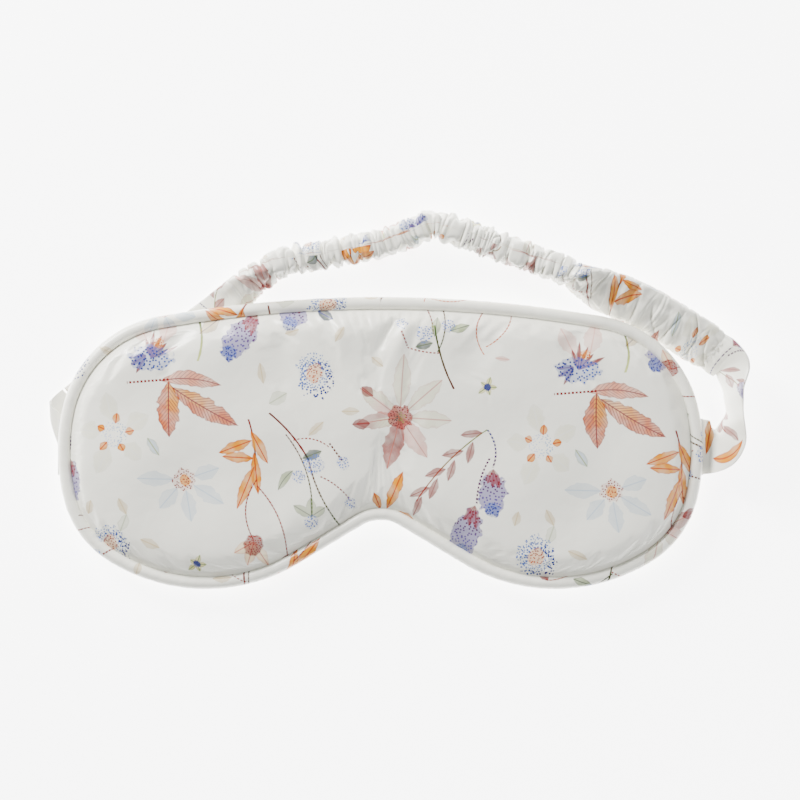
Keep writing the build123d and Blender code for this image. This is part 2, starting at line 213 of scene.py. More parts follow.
def apply_modifiers(obj):
    """Replaces the object's mesh with what its modifiers make of it."""
    graph = bpy.context.evaluated_depsgraph_get()
    graph.update()
    mesh = bpy.data.meshes.new_from_object(obj.evaluated_get(graph), depsgraph=graph)
    obj.modifiers.clear()
    old, obj.data = obj.data, mesh
    mesh.name = old.name
    bpy.data.meshes.remove(old)


def vertex_array(obj):
    """The object's vertices in millimetres."""
    points = np.empty(len(obj.data.vertices) * 3, np.float32)
    obj.data.vertices.foreach_get("co", points)
    return points.reshape(-1, 3) / MM


def set_vertices(obj, points):
    """Moves the object's vertices to places in millimetres."""
    obj.data.vertices.foreach_set("co", (points * MM).astype(np.float32).ravel())
    obj.data.update()


def smooth_noise(x, y, scale, seed):
    """A soft wandering height, about -1 to 1: the mean of eight plane waves of random direction
    and phase whose wavelengths spread round the scale."""
    rng = np.random.default_rng(seed)
    total = np.zeros(np.broadcast(x, y).shape)
    for _ in range(8):
        angle, phase = rng.uniform(0, 2 * math.pi, 2)
        wave = 2 * math.pi / (scale * rng.uniform(0.7, 1.5))
        total = total + np.sin(wave * (np.cos(angle) * x + np.sin(angle) * y) + phase)
    return total / 3.0


def ramp(value, low, high):
    """A soft step from 0 at low to 1 at high."""
    t = np.clip((value - low) / (high - low), 0, 1)
    return t * t * (3 - 2 * t)


# ---------------------------------------------------------------------------------------------
# Nodes: a short way to write shader arithmetic
# ---------------------------------------------------------------------------------------------
class Nodes:
    """Adds nodes to a tree; each call returns the new node's output socket."""

    def __init__(self, tree):
        self.tree = tree

    def put(self, socket, value):
        """Links a socket to the input, or sets the input's own value."""
        if isinstance(value, bpy.types.NodeSocket):
            self.tree.links.new(value, socket)
        elif value is not None:
            socket.default_value = value

    def add(self, kind, inputs=(), output=0, **settings):
        """A node with its inputs given by index or name."""
        node = self.tree.nodes.new(kind)
        for key, value in settings.items():
            setattr(node, key, value)
        for key, value in dict(inputs).items():
            self.put(node.inputs[key], value)
        return node.outputs[output]

    def math(self, operation, a, b=None, c=None):
        """One arithmetic step on numbers, never clamped: a clamp is worked out last of all, and every
        motif's values would have to be held until then."""
        return self.add("ShaderNodeMath", {0: a, 1: b, 2: c}, operation=operation)

    def mul(self, a, b):
        """a b"""
        return self.math("MULTIPLY", a, b)

    def fma(self, a, b, c):
        """a b + c"""
        return self.math("MULTIPLY_ADD", a, b, c)

    def sub(self, a, b):
        """a - b"""
        return self.math("SUBTRACT", a, b)

    def div(self, a, b):
        """a / b"""
        return self.math("DIVIDE", a, b)

    def larger(self, a, b):
        """The larger of a and b."""
        return self.math("MAXIMUM", a, b)

    def sine(self, a):
        """sin a"""
        return self.math("SINE", a)

    def size(self, a):
        """a without its sign."""
        return self.math("ABSOLUTE", a)

    def split(self, vector):
        """A vector's x and y."""
        node = self.tree.nodes.new("ShaderNodeSeparateXYZ")
        self.put(node.inputs[0], vector)
        return node.outputs[0], node.outputs[1]

    def join(self, x, y, z=0.0):
        """A vector from its parts."""
        return self.add("ShaderNodeCombineXYZ", {0: x, 1: y, 2: z})

    def ramp(self, value, low, high, to_low=0.0, to_high=1.0):
        """The value carried from one range to another with soft ends, held at both."""
        inputs = {"Value": value, 1: low, 2: high, 3: to_low, 4: to_high}
        return self.add("ShaderNodeMapRange", inputs, interpolation_type="SMOOTHSTEP", clamp=False)

    def mix(self, share, a, b):
        """Colour a gives way to colour b."""
        inputs = {"Factor": share, 6: a, 7: b}
        return self.add("ShaderNodeMix", inputs, output=2, data_type="RGBA")

    def noise(self, vector, scale, detail=2.0, roughness=0.5):
        """Noise from 0 to 1."""
        inputs = {"Vector": vector, "Scale": scale, "Detail": detail, "Roughness": roughness}
        return self.add("ShaderNodeTexNoise", inputs)


# What every motif is handed, which of it are places or directions, and the print's repeat
SHARED = ["Place", "Wash", "Wobble", "Fine Dots", "Coarse Dots"]
VECTORS = ["Place", "At", "Along", "Across"]
REPEAT_X, REPEAT_Y, REPEAT_SLOPE = 141.5, 128.0, 0.0269


def motif_group(name, fields):
    """An empty motif group: its nodes, its inputs by name and its output node. Every motif is handed
    the cloth place and the shared grains, and gives a colour and how much of the cloth it covers."""
    tree = bpy.data.node_groups.new(name, "ShaderNodeTree")
    for field in SHARED + ["At", "Along", "Across"] + fields:
        kind = "Color" if "Tint" in field else "Vector" if field in VECTORS else "Float"
        tree.interface.new_socket(field, in_out="INPUT", socket_type="NodeSocket" + kind)
    tree.interface.new_socket("Color", in_out="OUTPUT", socket_type="NodeSocketColor")
    tree.interface.new_socket("Cover", in_out="OUTPUT", socket_type="NodeSocketFloat")
    given = {socket.name: socket for socket in tree.nodes.new("NodeGroupInput").outputs}
    return Nodes(tree), given, tree.nodes.new("NodeGroupOutput").inputs


def local_place(n, given):
    """The cloth place seen from a motif, as x along its own direction and y across it. It wraps round
    the print's repeat, so that every copy shows."""
    offset = n.add("ShaderNodeVectorMath", {0: given["Place"], 1: given["At"]}, operation="SUBTRACT")
    half = (REPEAT_X / 2, REPEAT_Y / 2, 1.0)
    offset = n.add(
        "ShaderNodeVectorMath", {0: offset, 1: half, 2: tuple(-v for v in half)}, operation="WRAP"
    )
    return [
        n.add("ShaderNodeVectorMath", {0: offset, 1: given[way]}, output=1, operation="DOT_PRODUCT")
        for way in ("Along", "Across")
    ]


def fade(n, value, edge, soft):
    """1 below the edge, falling to 0 over the soft width above it."""
    return n.ramp(value, edge + soft, edge)


def leaf_motif(veined=False, fan=False):
    """A painted leaf from its stalk along +x: half width = 2 Width u (1 - u), roughened by the wobble
    and bent sideways by Bend u^2, with a midrib and a darker rim. A veined one has slanted veins and a
    second tint on one half. A fan is Count of them, Step apart, starting Inner from the middle."""
    extra = (["Veins", "Half Tint"] if veined else []) + (["Count", "Step", "Inner"] if fan else [])
    name = "Veined leaf" if veined else "Fan of leaves" if fan else "Leaf"
    n, given, result = motif_group(name, ["Length", "Width", "Bend", "Solid", "Tint", "Rib Tint"] + extra)
    x, y = local_place(n, given)
    if fan:
        turn = n.div(n.math("ARCTAN2", y, x), given["Step"])
        last = n.mul(n.sub(given["Count"], 1.0), 0.5)
        rank = n.math("MINIMUM", n.math("ROUND", turn), last)
        rank = n.larger(rank, n.mul(last, -1.0))
        angle = n.mul(n.sub(turn, rank), given["Step"])
        reach = n.math("SQRT", n.fma(x, x, n.mul(y, y)))
        x = n.sub(n.mul(reach, n.math("COSINE", angle)), given["Inner"])
        y = n.mul(reach, n.sine(angle))
        length = n.fma(n.sine(n.mul(rank, 2.3)), 0.15, 0.95)
        u = n.div(x, n.mul(length, given["Length"]))
    else:
        u = n.div(x, given["Length"])
    y = n.sub(y, n.mul(n.mul(u, u), given["Bend"]))
    swell = n.mul(u, n.sub(1.0, u))
    half = n.mul(n.mul(swell, given["Wobble"]), given["Width"])
    beyond = n.fma(half, -2.0, n.size(y))
    body = fade(n, beyond, -0.15, 0.3)
    rib = n.mul(fade(n, n.size(y), 0.12, 0.22), body)
    rim = n.mul(n.ramp(beyond, -0.77, 0.14), body)
    line = n.larger(rib, n.mul(rim, 0.8))
    tint = given["Tint"]
    if veined:
        slant = n.fma(n.size(y), -1.3, x)
        vein = n.ramp(n.sine(n.mul(slant, 4.4)), 0.3, 1.0)
        vein = n.mul(n.mul(vein, body), given["Veins"])
        line = n.larger(line, vein)
        side = n.mul(fade(n, y, -0.4, -0.4), fade(n, u, 0.35, 0.4))
        tint = n.mix(side, tint, given["Half Tint"])
    fill = n.mul(n.mul(body, given["Wash"]), given["Solid"])
    n.put(result[0], n.mix(line, tint, given["Rib Tint"]))
    strength = n.fma(given["Solid"], 0.6, 0.4)
    n.put(result[1], n.larger(fill, n.mul(line, strength)))
    return n.tree


def stem_motif():
    """A thin painted line from its start along +x, bowed by Bend as 4 u (1 - u); Dash breaks it up."""
    n, given, result = motif_group("Stem", ["Length", "Width", "Bend", "Dash", "Tint", "End Tint"])
    x, y = local_place(n, given)
    u = n.div(x, given["Length"])
    bow = n.mul(u, n.sub(1.0, u))
    inside = n.ramp(bow, 0.0, 0.005)
    away = n.size(n.fma(n.mul(bow, -4.0), given["Bend"], y))
    half = n.mul(given["Width"], -0.5)
    line = fade(n, n.fma(given["Wobble"], half, away), -0.1, 0.22)
    beat = n.ramp(n.sine(n.mul(x, 5.0)), -0.56, 0.06)
    beat = n.fma(n.sub(beat, 1.0), given["Dash"], 1.0)
    n.put(result[0], n.mix(u, given["Tint"], given["End Tint"]))
    n.put(result[1], n.mul(n.mul(line, inside), beat))
    return n.tree


def dots_motif(coarse):
    """A cluster of small painted dots from Inner out to a ragged Reach, drawn out by Stretch along +x,
    its tint running to End Tint along it, with a pale Wash under the dots."""
    n, given, result = motif_group(
        "Coarse dots" if coarse else "Fine dots",
        ["Reach", "Inner", "Stretch", "Under", "Tint", "End Tint", "Under Tint"],
    )
    x, y = local_place(n, given)
    x = n.div(x, given["Stretch"])
    r = n.math("SQRT", n.fma(x, x, n.mul(y, y)))
    reach = n.mul(given["Reach"], -1.0)
    beyond = n.fma(given["Wobble"], reach, r)
    within = n.mul(fade(n, beyond, -0.2, 0.5), n.math("GREATER_THAN", r, given["Inner"]))
    dots = n.mul(within, given["Coarse Dots" if coarse else "Fine Dots"])
    along = n.ramp(n.div(x, given["Reach"]), -0.67, 1.0)
    n.put(result[0], n.mix(dots, given["Under Tint"], n.mix(along, given["Tint"], given["End Tint"])))
    n.put(result[1], n.larger(n.mul(within, given["Under"]), dots))
    return n.tree


# Paint tints of the print
RED, ROSE, PEACH = (0.16, 0.0, 0.0, 1), (0.22, 0.008, 0.004, 1), (0.5, 0.09, 0.002, 1)
ORANGE, AMBER, SAND = (0.42, 0.06, 0.0, 1), (0.64, 0.24, 0.0, 1), (0.42, 0.27, 0.06, 1)
BLUE, SKY, LILAC = (0.003, 0.01, 0.15, 1), (0.05, 0.11, 0.38, 1), (0.11, 0.08, 0.3, 1)
PLUM, GREEN, SAGE = (0.06, 0.005, 0.05, 1), (0.02, 0.05, 0.002, 1), (0.13, 0.2, 0.03, 1)
TEAL, BARK, BLUSH = (0.002, 0.03, 0.035, 1), (0.075, 0.008, 0.003, 1), (0.52, 0.14, 0.11, 1)
PALE, MIST = (0.52, 0.5, 0.3, 1), (0.24, 0.37, 0.52, 1)


class Painter:
    """Lays motifs over the cloth's ground colour, one over another. Places are cloth millimetres and
    turns are degrees."""

    def __init__(self, n, place, ground, grains):
        self.n, self.colour = n, ground
        self.shared = {"Place": place, **grains}
        self.kinds = {
            "leaf": leaf_motif(), "veined": leaf_motif(veined=True), "fan": leaf_motif(fan=True),
            "stem": stem_motif(), "fine": dots_motif(False), "coarse": dots_motif(True),
        }

    def lay(self, kind, at, turn, **fields):
        """One motif over what is there already."""
        c, s = math.cos(math.radians(turn)), math.sin(math.radians(turn))
        inputs = dict(self.shared)
        inputs["At"] = (at[0], at[1] + REPEAT_SLOPE * at[0], 0.0)
        inputs["Along"], inputs["Across"] = (c, s, 0.0), (-s, c, 0.0)
        inputs.update({key.replace("_", " ").title(): value for key, value in fields.items()})
        node = self.n.tree.nodes.new("ShaderNodeGroup")
        node.node_tree = self.kinds[kind]
        for key, value in inputs.items():
            if key in node.inputs:
                self.n.put(node.inputs[key], value)
        self.colour = self.n.mix(node.outputs[1], self.colour, node.outputs[0])

    def leaf(self, at, turn, length, width, tint, rib=None, half=None, bend=0.0, veins=0.0, solid=0.8):
        """A leaf or a petal drawn from its stalk."""
        kind = "veined" if veins else "leaf"
        self.lay(
            kind, at, turn, length=length, width=width, bend=bend, veins=veins, solid=solid,
            tint=tint, rib_tint=rib or tint, half_tint=half or tint,
        )

    def fan(self, at, turn, count, step, length, width, tint, rib=None, inner=0.0, solid=0.8, bend=0.0):
        """Leaves or petals round a place, an odd number of them."""
        self.lay(
            "fan", at, turn, count=float(count), step=math.radians(step), inner=inner, length=length,
            width=width, bend=bend, solid=solid, tint=tint, rib_tint=rib or tint,
        )

    def stem(self, at, end, tint, end_tint=None, bend=0.0, width=0.45, dash=0.0):
        """A line from one place to another."""
        run, rise = end[0] - at[0], end[1] - at[1]
        self.lay(
            "stem", at, math.degrees(math.atan2(rise, run)), length=math.hypot(run, rise), width=width,
            bend=bend, dash=dash, tint=tint, end_tint=end_tint or tint,
        )

    def dots(
        self, at, reach, tint, end=None, inner=0.0, stretch=1.0, coarse=False, turn=0.0, wash=0.0, under=None
    ):
        """A cluster of dots."""
        self.lay(
            "coarse" if coarse else "fine", at, turn, reach=reach, inner=inner, stretch=stretch,
            under=wash, tint=tint, end_tint=end or tint, under_tint=under or tint,
        )

    def lupine(self, at, turn, length):
        """A long speckled bloom: a red cap at its stalk, lilac dots, a blue tip."""
        ahead = (math.cos(math.radians(turn)), math.sin(math.radians(turn)))
        middle = (at[0] + ahead[0] * length * 0.55, at[1] + ahead[1] * length * 0.55)
        tip = (at[0] + ahead[0] * length * 0.9, at[1] + ahead[1] * length * 0.9)
        self.dots(
            middle, 4.6, PLUM, (0.1, 0.09, 0.36, 1), stretch=length / 10.0, coarse=True, turn=turn,
            wash=0.72, under=LILAC,
        )
        self.dots(tip, 2.4, BLUE, turn=turn, wash=0.55, under=SKY)
        self.fan(at, turn, 3, 20, length * 0.42, 2.4, ROSE, RED, solid=0.75)

    def forget_me_not(self, x, y, reach):
        """A few bright blue dots on a pale blue wash."""
        self.dots((x, y), reach, (0.07, 0.15, 0.5, 1), SKY, wash=0.18, under=SKY)


def paint_print(painter):
    """The print: single watercolour sprigs and blooms on white, set wide apart."""
    p = painter
    # Faint leaves scattered between the sprigs
    scattered = [(-97, -21), (-84, -21), (-73, -32), (-27, 40), (-12, 41), (-40, 29), (-3, 31), (-13, 13)]
    for k, (x, y) in enumerate(scattered + [(-24, 5)]):
        p.leaf((x, y - 2.5), 75 + 41 * k, 5.0 + k % 3, 2.8, SAND, solid=0.5)
    p.leaf((-37, 13), 32, 7, 4.4, SAGE, solid=0.32)
    p.leaf((-73, -4), 125, 7, 3.2, MIST, SAGE, solid=0.6)
    p.leaf((-86, -29), 70, 6, 3.6, SAGE, solid=0.25)
    # Three veined leaves on a red stalk
    p.leaf((-70, 20.5), -93, 18.5, 7.4, PEACH, RED, AMBER, bend=1.2, veins=0.9, solid=0.95)
    p.leaf((-69, 18.5), -34, 25.0, 7.0, PEACH, RED, AMBER, bend=2.2, veins=1.0, solid=0.9)
    p.leaf((-72.6, 20.5), 15, 19.0, 5.4, (0.6, 0.16, 0.06, 1), RED, bend=-6.0, veins=0.9, solid=0.85)
    p.stem((-70, 21), (-84, 19.6), RED, dash=0.9, width=0.7)
    # Ring of amber tips round a pale heart
    p.fan((-88, 3), 30, 5, 72, 9, 6, PALE, (0.66, 0.66, 0.58, 1), inner=4.5, solid=0.35)
    p.dots((-88, 3), 4.0, (0.55, 0.58, 0.7, 1), MIST, inner=1.2)
    p.fan((-88, 3), 12, 5, 72, 3.4, 2.6, AMBER, ORANGE, inner=3.5, solid=1.0)
    # Blue and red thistle under pink petals
    p.leaf((-77, 33), 118, 10, 6, BLUSH, solid=0.4)
    p.leaf((-72, 33), 78, 11, 6, BLUSH, solid=0.45)
    p.fan((-76, 28), 66, 5, 20, 9.0, 1.5, ROSE, RED, solid=0.9)
    p.fan((-77.5, 29), 215, 3, 26, 6.5, 1.8, BLUE, RED, solid=0.85)
    p.dots((-76, 28), 4.2, BLUE, (0.02, 0.06, 0.3, 1), stretch=1.7, coarse=True, wash=0.5, under=SKY)
    p.dots((-73.5, 33), 1.6, ORANGE, wash=0.5, under=AMBER)
    # Green stalk with a folded bud
    p.stem((-61, 42), (-60.5, 27), GREEN, (0.5, 0.55, 0.2, 1), bend=1.6, width=0.75)
    p.leaf((-60, 36), 42, 9, 4.0, SAND, BARK, solid=0.5)
    # Red ringed flower with pale blue petals
    p.fan((-65, -12), -80, 5, 50, 11, 5, MIST, MIST, inner=3.5, solid=0.4)
    p.dots((-65, -12), 3.7, RED, inner=1.9, wash=0.3, under=BLUSH)
    p.dots((-64.8, -12.2), 1.9, ORANGE, RED, wash=0.85, under=AMBER)
    # Lupines
    p.lupine((-41, 43), -125, 18)
    p.lupine((-27, 47), -112, 9)
    p.lupine((37.5, -8.5), -92, 15)
    p.lupine((31.5, -20.5), -108, 18)
    p.stem((35.5, 4.5), (37.3, -8), BLUE, PLUM, bend=1.8, width=0.6, dash=0.7)
    p.stem((36.3, -5), (32, -20), PLUM, bend=-1.0, width=0.6, dash=0.9)
    # Speckled round flowers with an orange heart
    for x, y in ((-22, 23), (51.5, -37.5)):
        p.dots((x, y + 0.6), 6.0, SKY, inner=2.0, turn=40, wash=0.14, under=MIST)
        p.dots((x + 0.6, y - 1.6), 6.2, BLUE, SKY, inner=3.4, coarse=True, turn=160)
        p.dots((x, y), 2.5, ORANGE, RED, stretch=1.3, turn=70, wash=0.5, under=AMBER)
    # Small daisies
    for x, y in ((-60.8, -40), (35.5, 18.5)):
        p.fan((x, y), 0, 5, 72, 3.4, 1.8, (0.72, 0.6, 0.12, 1), SAGE, solid=0.8)
        p.dots((x, y), 1.2, BLUE, wash=0.9)
    # Amber spray on a red stalk, running out into two thin runners with buds
    p.stem((-43.8, 8), (-41.5, -9), RED, BARK, bend=0.8, width=0.6)
    p.leaf((-43, 4), -62, 12, 3.6, AMBER, ORANGE, solid=1.0)
    p.leaf((-42.5, 1), 202, 12, 3.6, AMBER, ORANGE, solid=1.0)
    p.leaf((-42, -3), -84, 14, 3.4, AMBER, ORANGE, solid=1.0)
    p.leaf((-42, -5), 178, 10.5, 3.6, AMBER, ORANGE, solid=1.0)
    p.leaf((-41.8, -7.5), -112, 15.5, 3.8, AMBER, ORANGE, solid=1.0)
    p.stem((-41, -12), (-42, -32), ROSE, RED, bend=-3.2, dash=0.3)
    p.stem((-41, -14), (-31, -38), ROSE, RED, bend=2.6, dash=0.3)
    p.fan((-42, -32.5), -105, 3, 45, 9, 3.6, (0.82, 0.55, 0.22, 1), PEACH, solid=0.6)
    p.dots((-42, -33.5), 3.0, RED, ROSE, stretch=1.2, turn=80, wash=0.75, under=ROSE)
    p.leaf((-33, -38.5), -10, 5.0, 3.6, ROSE, RED, solid=0.95)
    # Trailing blue flowers on a forked stalk
    p.stem((-37, 10), (-24, -5), BARK, RED, bend=1.0, width=0.6)
    p.stem((-29, 1), (-17, -1), ROSE, bend=1.6, dash=0.9)
    p.stem((-17, 0), (-12.5, -6), BARK, dash=0.8, width=0.6)
    p.stem((-31.5, 3), (-23, -25), BARK, GREEN, bend=3.0, dash=0.3)
    p.stem((-24, -5), (-12, -29), BARK, GREEN, bend=-1.8, dash=0.3, width=0.55)
    p.stem((-20, -11), (-10, -19), RED, bend=1.0, dash=0.8)
    p.leaf((-26, -5), 22, 7, 3.2, TEAL, GREEN, solid=0.85)
    p.leaf((-29, -9), 215, 8, 3.0, SAGE, GREEN, bend=2.6, solid=0.7)
    p.fan((-23, -24), 92, 3, 58, 6.5, 3.4, SAGE, GREEN, solid=0.6)
    p.leaf((-12, -30), 215, 7, 2.6, SAGE, TEAL, solid=0.6)
    for x, y, reach in ((-22, -7, 3.2), (-12.5, -6.5, 2.2), (-23, -26, 2.2)):
        p.forget_me_not(x, y, reach)
    p.forget_me_not(-27, -11, 2.2)
    p.forget_me_not(-10, -20, 1.8)
    p.leaf((-21, 44), -28, 6, 3.4, TEAL, BLUE, solid=0.9)
    # The same kind of stalk, upright, under the forehead edge
    p.stem((14, 47), (17.5, 36), ROSE, BARK, bend=1.0, dash=0.4)
    p.stem((20, 47), (19, 30), BARK, GREEN, bend=2.0, dash=0.2)
    p.stem((18, 39), (24.5, 18), GREEN, BARK, bend=-1.0, width=0.6)
    p.stem((7, 37), (9, 32), RED, width=0.6, dash=0.5)
    p.stem((9, 31.5), (19.5, 30), ROSE, bend=-0.5, dash=0.9)
    p.leaf((17.5, 33), 195, 6, 3.0, TEAL, GREEN, solid=0.85)
    p.leaf((23, 37), 18, 7, 3.0, SAGE, GREEN, solid=0.8)
    p.leaf((18, 35), 82, 7, 3.0, SAGE, GREEN, solid=0.6)
    for x, y, reach in ((7, 39.5, 2.0), (14.5, 36, 2.8), (22.5, 39, 2.2)):
        p.forget_me_not(x, y, reach)
    # Large seven-petalled flower
    rim = (0.34, 0.04, 0.02, 1)
    p.fan((6.5, 8.5), 42, 3, 44, 17, 6.0, PALE, rim, inner=3, solid=0.5)
    p.leaf((6.5, 8.5), -55, 16, 6.4, BLUSH, rim, BLUSH, solid=0.6, veins=0.3)
    p.leaf((6.5, 8.5), -104, 18, 6.4, ROSE, rim, ROSE, solid=0.85, veins=0.5)
    p.leaf((6.5, 8.5), -170, 15, 5.6, ROSE, rim, PALE, solid=0.7, veins=0.3)
    p.leaf((6.5, 8.5), 145, 16.5, 6.2, PALE, rim, BLUSH, solid=0.6, veins=0.3)
    p.leaf((-2.5, 15.5), 142, 5, 3.4, RED, solid=0.9)
    p.leaf((-3.5, 6.5), -176, 6, 3.6, RED, solid=0.9)
    p.dots((6.5, 8.5), 4.0, BARK, RED, wash=0.8, under=(0.32, 0.03, 0.02, 1))
    p.dots((6.5, 8.2), 1.8, TEAL, (0.3, 0.3, 0.05, 1), wash=0.3, under=GREEN)
    # Rose spray
    p.stem((35.5, 4.5), (12, -20), SAGE, ROSE, bend=-1.8, width=0.4)
    for k in range(8):
        u = k / 7
        root = (34 - 20 * u - 3 * u * (1 - u), 3.5 - 21 * u)
        p.leaf(root, -128 + (26 if k % 2 else -44) * (1 - 0.5 * u), 7.5, 2.6, ROSE, RED, solid=0.8)
    # Amber leaves at the nose
    p.leaf((0, -22), 112, 6, 2.6, AMBER, ORANGE, solid=1.0)
    p.leaf((2, -22), 66, 14, 4.0, AMBER, ORANGE, solid=1.0)
    p.leaf((4, -23), -22, 8, 3.2, AMBER, ORANGE, solid=1.0)
    # Thin pink runners under the forehead edge
    p.stem((36.5, 46), (34.5, 29), ROSE, PEACH, bend=-3.6, dash=0.25)
    p.stem((44, 46), (35, 31.5), ROSE, PEACH, bend=2.6, dash=0.45)
    p.leaf((35.5, 45.5), -10, 6, 3.4, RED, solid=0.9)
    p.leaf((43, 27.5), 175, 5, 1.6, BLUSH, solid=0.5)
    return p.colour


def paint_grains(n, place):
    """What every motif shares: the wash of its colour, the wobble of its edge and two sizes of dot.
    They are worked out straight from the cloth map, ahead of the print, which keeps the shader small."""
    grains = {
        "Wash": n.ramp(n.noise(place, 0.2, 2.0), 0.3, 0.66, 0.74, 1.0),
        "Wobble": n.fma(n.noise(place, 0.45, 1.0), 0.8, 0.6),
    }
    for name, size in (("Fine Dots", 0.85), ("Coarse Dots", 1.2)):
        cells = n.add(
            "ShaderNodeTexVoronoi", {"Vector": place, "Scale": 1 / size}, voronoi_dimensions="2D"
        )
        grains[name] = fade(n, cells, 0.22, 0.14)
    return grains


def print_group():
    """The printed satin's colour for a cloth place in millimetres and its grains, as a node group."""
    tree = bpy.data.node_groups.new("Satin print", "ShaderNodeTree")
    tree.interface.new_socket("Place", in_out="INPUT", socket_type="NodeSocketVector")
    for name in SHARED[1:]:
        tree.interface.new_socket(name, in_out="INPUT", socket_type="NodeSocketFloat")
    tree.interface.new_socket("Ground", in_out="INPUT", socket_type="NodeSocketColor")
    tree.interface.new_socket("Color", in_out="OUTPUT", socket_type="NodeSocketColor")
    n = Nodes(tree)
    given = tree.nodes.new("NodeGroupInput").outputs
    x, y = n.split(given["Place"])
    place = n.join(x, n.fma(x, REPEAT_SLOPE, y))
    grains = {name: given[name] for name in SHARED[1:]}
    painter = Painter(n, place, given["Ground"], grains)
    n.put(tree.nodes.new("NodeGroupOutput").inputs[0], paint_print(painter))
    return tree


# ---------------------------------------------------------------------------------------------
# Materials
# ---------------------------------------------------------------------------------------------
def new_material(name, **shader):
    """A material with a Principled shader; returns it, its nodes and the shader node."""
    material = bpy.data.materials.new(name)
    material.use_nodes = True
    material.node_tree.nodes.clear()
    n = Nodes(material.node_tree)
    node = n.tree.nodes.new("ShaderNodeBsdfPrincipled")
    out = n.tree.nodes.new("ShaderNodeOutputMaterial")
    n.tree.links.new(node.outputs[0], out.inputs[0])
    for key, value in shader.items():
        node.inputs[key.replace("_", " ").title().replace("Ior", "IOR")].default_value = value
    return material, n, node


def bump(n, node, height, distance, strength=1.0):
    """Roughens the shader's surface by a height whose full range is that many metres."""
    inputs = {"Height": height, "Distance": distance, "Strength": strength}
    n.put(node.inputs["Normal"], n.add("ShaderNodeBump", inputs))


def satin_material(name, tree, ground, crease=0.5):
    """Printed satin, read from the piece's own cloth map in millimetres: the print over an ivory
    ground, and a fine twill and small soft puckers in the bump."""
    s = bpy.context.scene.sleep_mask_cloth
    material, n, node = new_material(
        name, roughness=s.roughness, sheen_weight=s.sheen, sheen_roughness=0.4, specular_ior_level=0.55
    )
    place = n.add("ShaderNodeUVMap", output=0, uv_map="Cloth")
    grains = paint_grains(n, place)
    tint = n.ramp(n.noise(place, 0.06, 2.0), 0.35, 0.65)
    ivory = n.mix(tint, tuple(ground), tuple(v * 0.985 for v in ground[:3]) + (1.0,))
    print_node = n.tree.nodes.new("ShaderNodeGroup")
    print_node.node_tree = tree
    n.put(print_node.inputs["Place"], place)
    n.put(print_node.inputs["Ground"], ivory)
    for key, value in grains.items():
        n.put(print_node.inputs[key], value)
    n.put(node.inputs["Base Color"], print_node.outputs[0])
    x, y = n.split(place)
    twill = n.sine(n.mul(n.math("ADD", x, n.mul(y, 0.45)), 14.0))
    pucker = n.noise(place, 0.16, 3.0, 0.45)
    height = n.fma(twill, 0.012, n.mul(pucker, crease))
    bump(n, node, height, 0.0012, 0.35)
    return material


def plain_material(name, tint, second, grain, roughness, depth, sheen=0.0, stretch=(1, 1, 1)):
    """An unprinted material, read in object coordinates: two tints mottled by noise of that many
    grains to the millimetre, which also roughens the surface. The noise is drawn out by stretch."""
    material, n, node = new_material(name, roughness=roughness, sheen_weight=sheen)
    place = n.add("ShaderNodeTexCoord", output="Object")
    scale = tuple(grain / MM * v for v in stretch)
    place = n.add("ShaderNodeVectorMath", {0: place, 1: scale}, operation="MULTIPLY")
    mottle = n.noise(place, 1.0, 3.0, 0.6)
    n.put(node.inputs["Base Color"], n.mix(n.ramp(mottle, 0.35, 0.65), tint, second))
    bump(n, node, mottle, depth * MM, 0.6)
    return material


def elastic_material():
    """Woven elastic: ribs along it and fine picks across it, from its own cloth map. Its colour is darker in
    the low places of the weave: painted shade in the grooves.
    """
    material, n, node = new_material("Woven elastic", roughness=0.7)
    x, y = n.split(n.add("ShaderNodeUVMap", output=0, uv_map="Cloth"))
    ribs = n.sine(n.mul(x, 9.0))
    picks = n.sine(n.mul(y, 14.0))
    height = n.fma(picks, 0.35, ribs)
    # painted shade: the colour darkens where the weave is low, in the grooves between ribs and picks
    weave_groove_shade = n.ramp(height, -1, 1)
    n.put(node.inputs["Base Color"], n.mix(weave_groove_shade, (0.55, 0.54, 0.5, 1), (0.78, 0.77, 0.73, 1)))
    bump(n, node, height, 0.00012, 0.6)
    return material


def thread_material():
    """Twisted sewing thread: fine slanted plies, darker between them as painted shade in the grooves."""
    material, n, node = new_material("Sewing thread", roughness=0.55, sheen_weight=0.2)
    place = n.add("ShaderNodeTexCoord", output="Object")
    plies = {"Vector": place, "Scale": 2600.0, "Distortion": 1.5}
    wave = n.add("ShaderNodeTexWave", plies, bands_direction="DIAGONAL")
    # painted shade: the wave that bumps the plies also darkens the grooves between them
    n.put(node.inputs["Base Color"], n.mix(wave, (0.66, 0.66, 0.62, 1), (0.82, 0.82, 0.79, 1)))
    bump(n, node, wave, 0.00005, 0.5)
    return material


def dress(obj, material):
    """Gives the object one material."""
    obj.data.materials.clear()
    obj.data.materials.append(material)


# ---------------------------------------------------------------------------------------------
# The mask's body
# ---------------------------------------------------------------------------------------------
STRAP_MID_Y = sum(v[1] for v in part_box("strap_root_right")) / 2 / MM
ROOT_WIDTH = (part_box("strap_root_right")[1][1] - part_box("strap_root_right")[0][1]) / MM
ROOT_Z = (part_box("strap_root_right")[0][2] / MM) + 0.4
SEAM_SKIN = 0.4  # from the seam's middle to each panel's edge
ROUND_OVER = 2.6  # how fast the front rounds over from its seam
REST_INSET = 26.0  # how far in the back panel reaches the table
SIMULATION_SCALE = 10

# Where each strip's corner was cut from the printed cloth, and how far round its tube the cloth goes
PIPING_CUT, CASING_CUT, RIGHT_CUT, LEFT_CUT = (31, 12), (20, -12), (-2, -30), (-6, -52)
CASING_GIRTH, TAB_GIRTH = 34, 38


def front_height(depth, rise):
    """Height of the front panel: up from the seam by rise (1 - e^(-(depth - seam) / 2.6))."""
    return SEAM_Z + SEAM_SKIN + rise * (1 - np.exp(-np.maximum(depth - SEAM_INSET, 0) / ROUND_OVER))


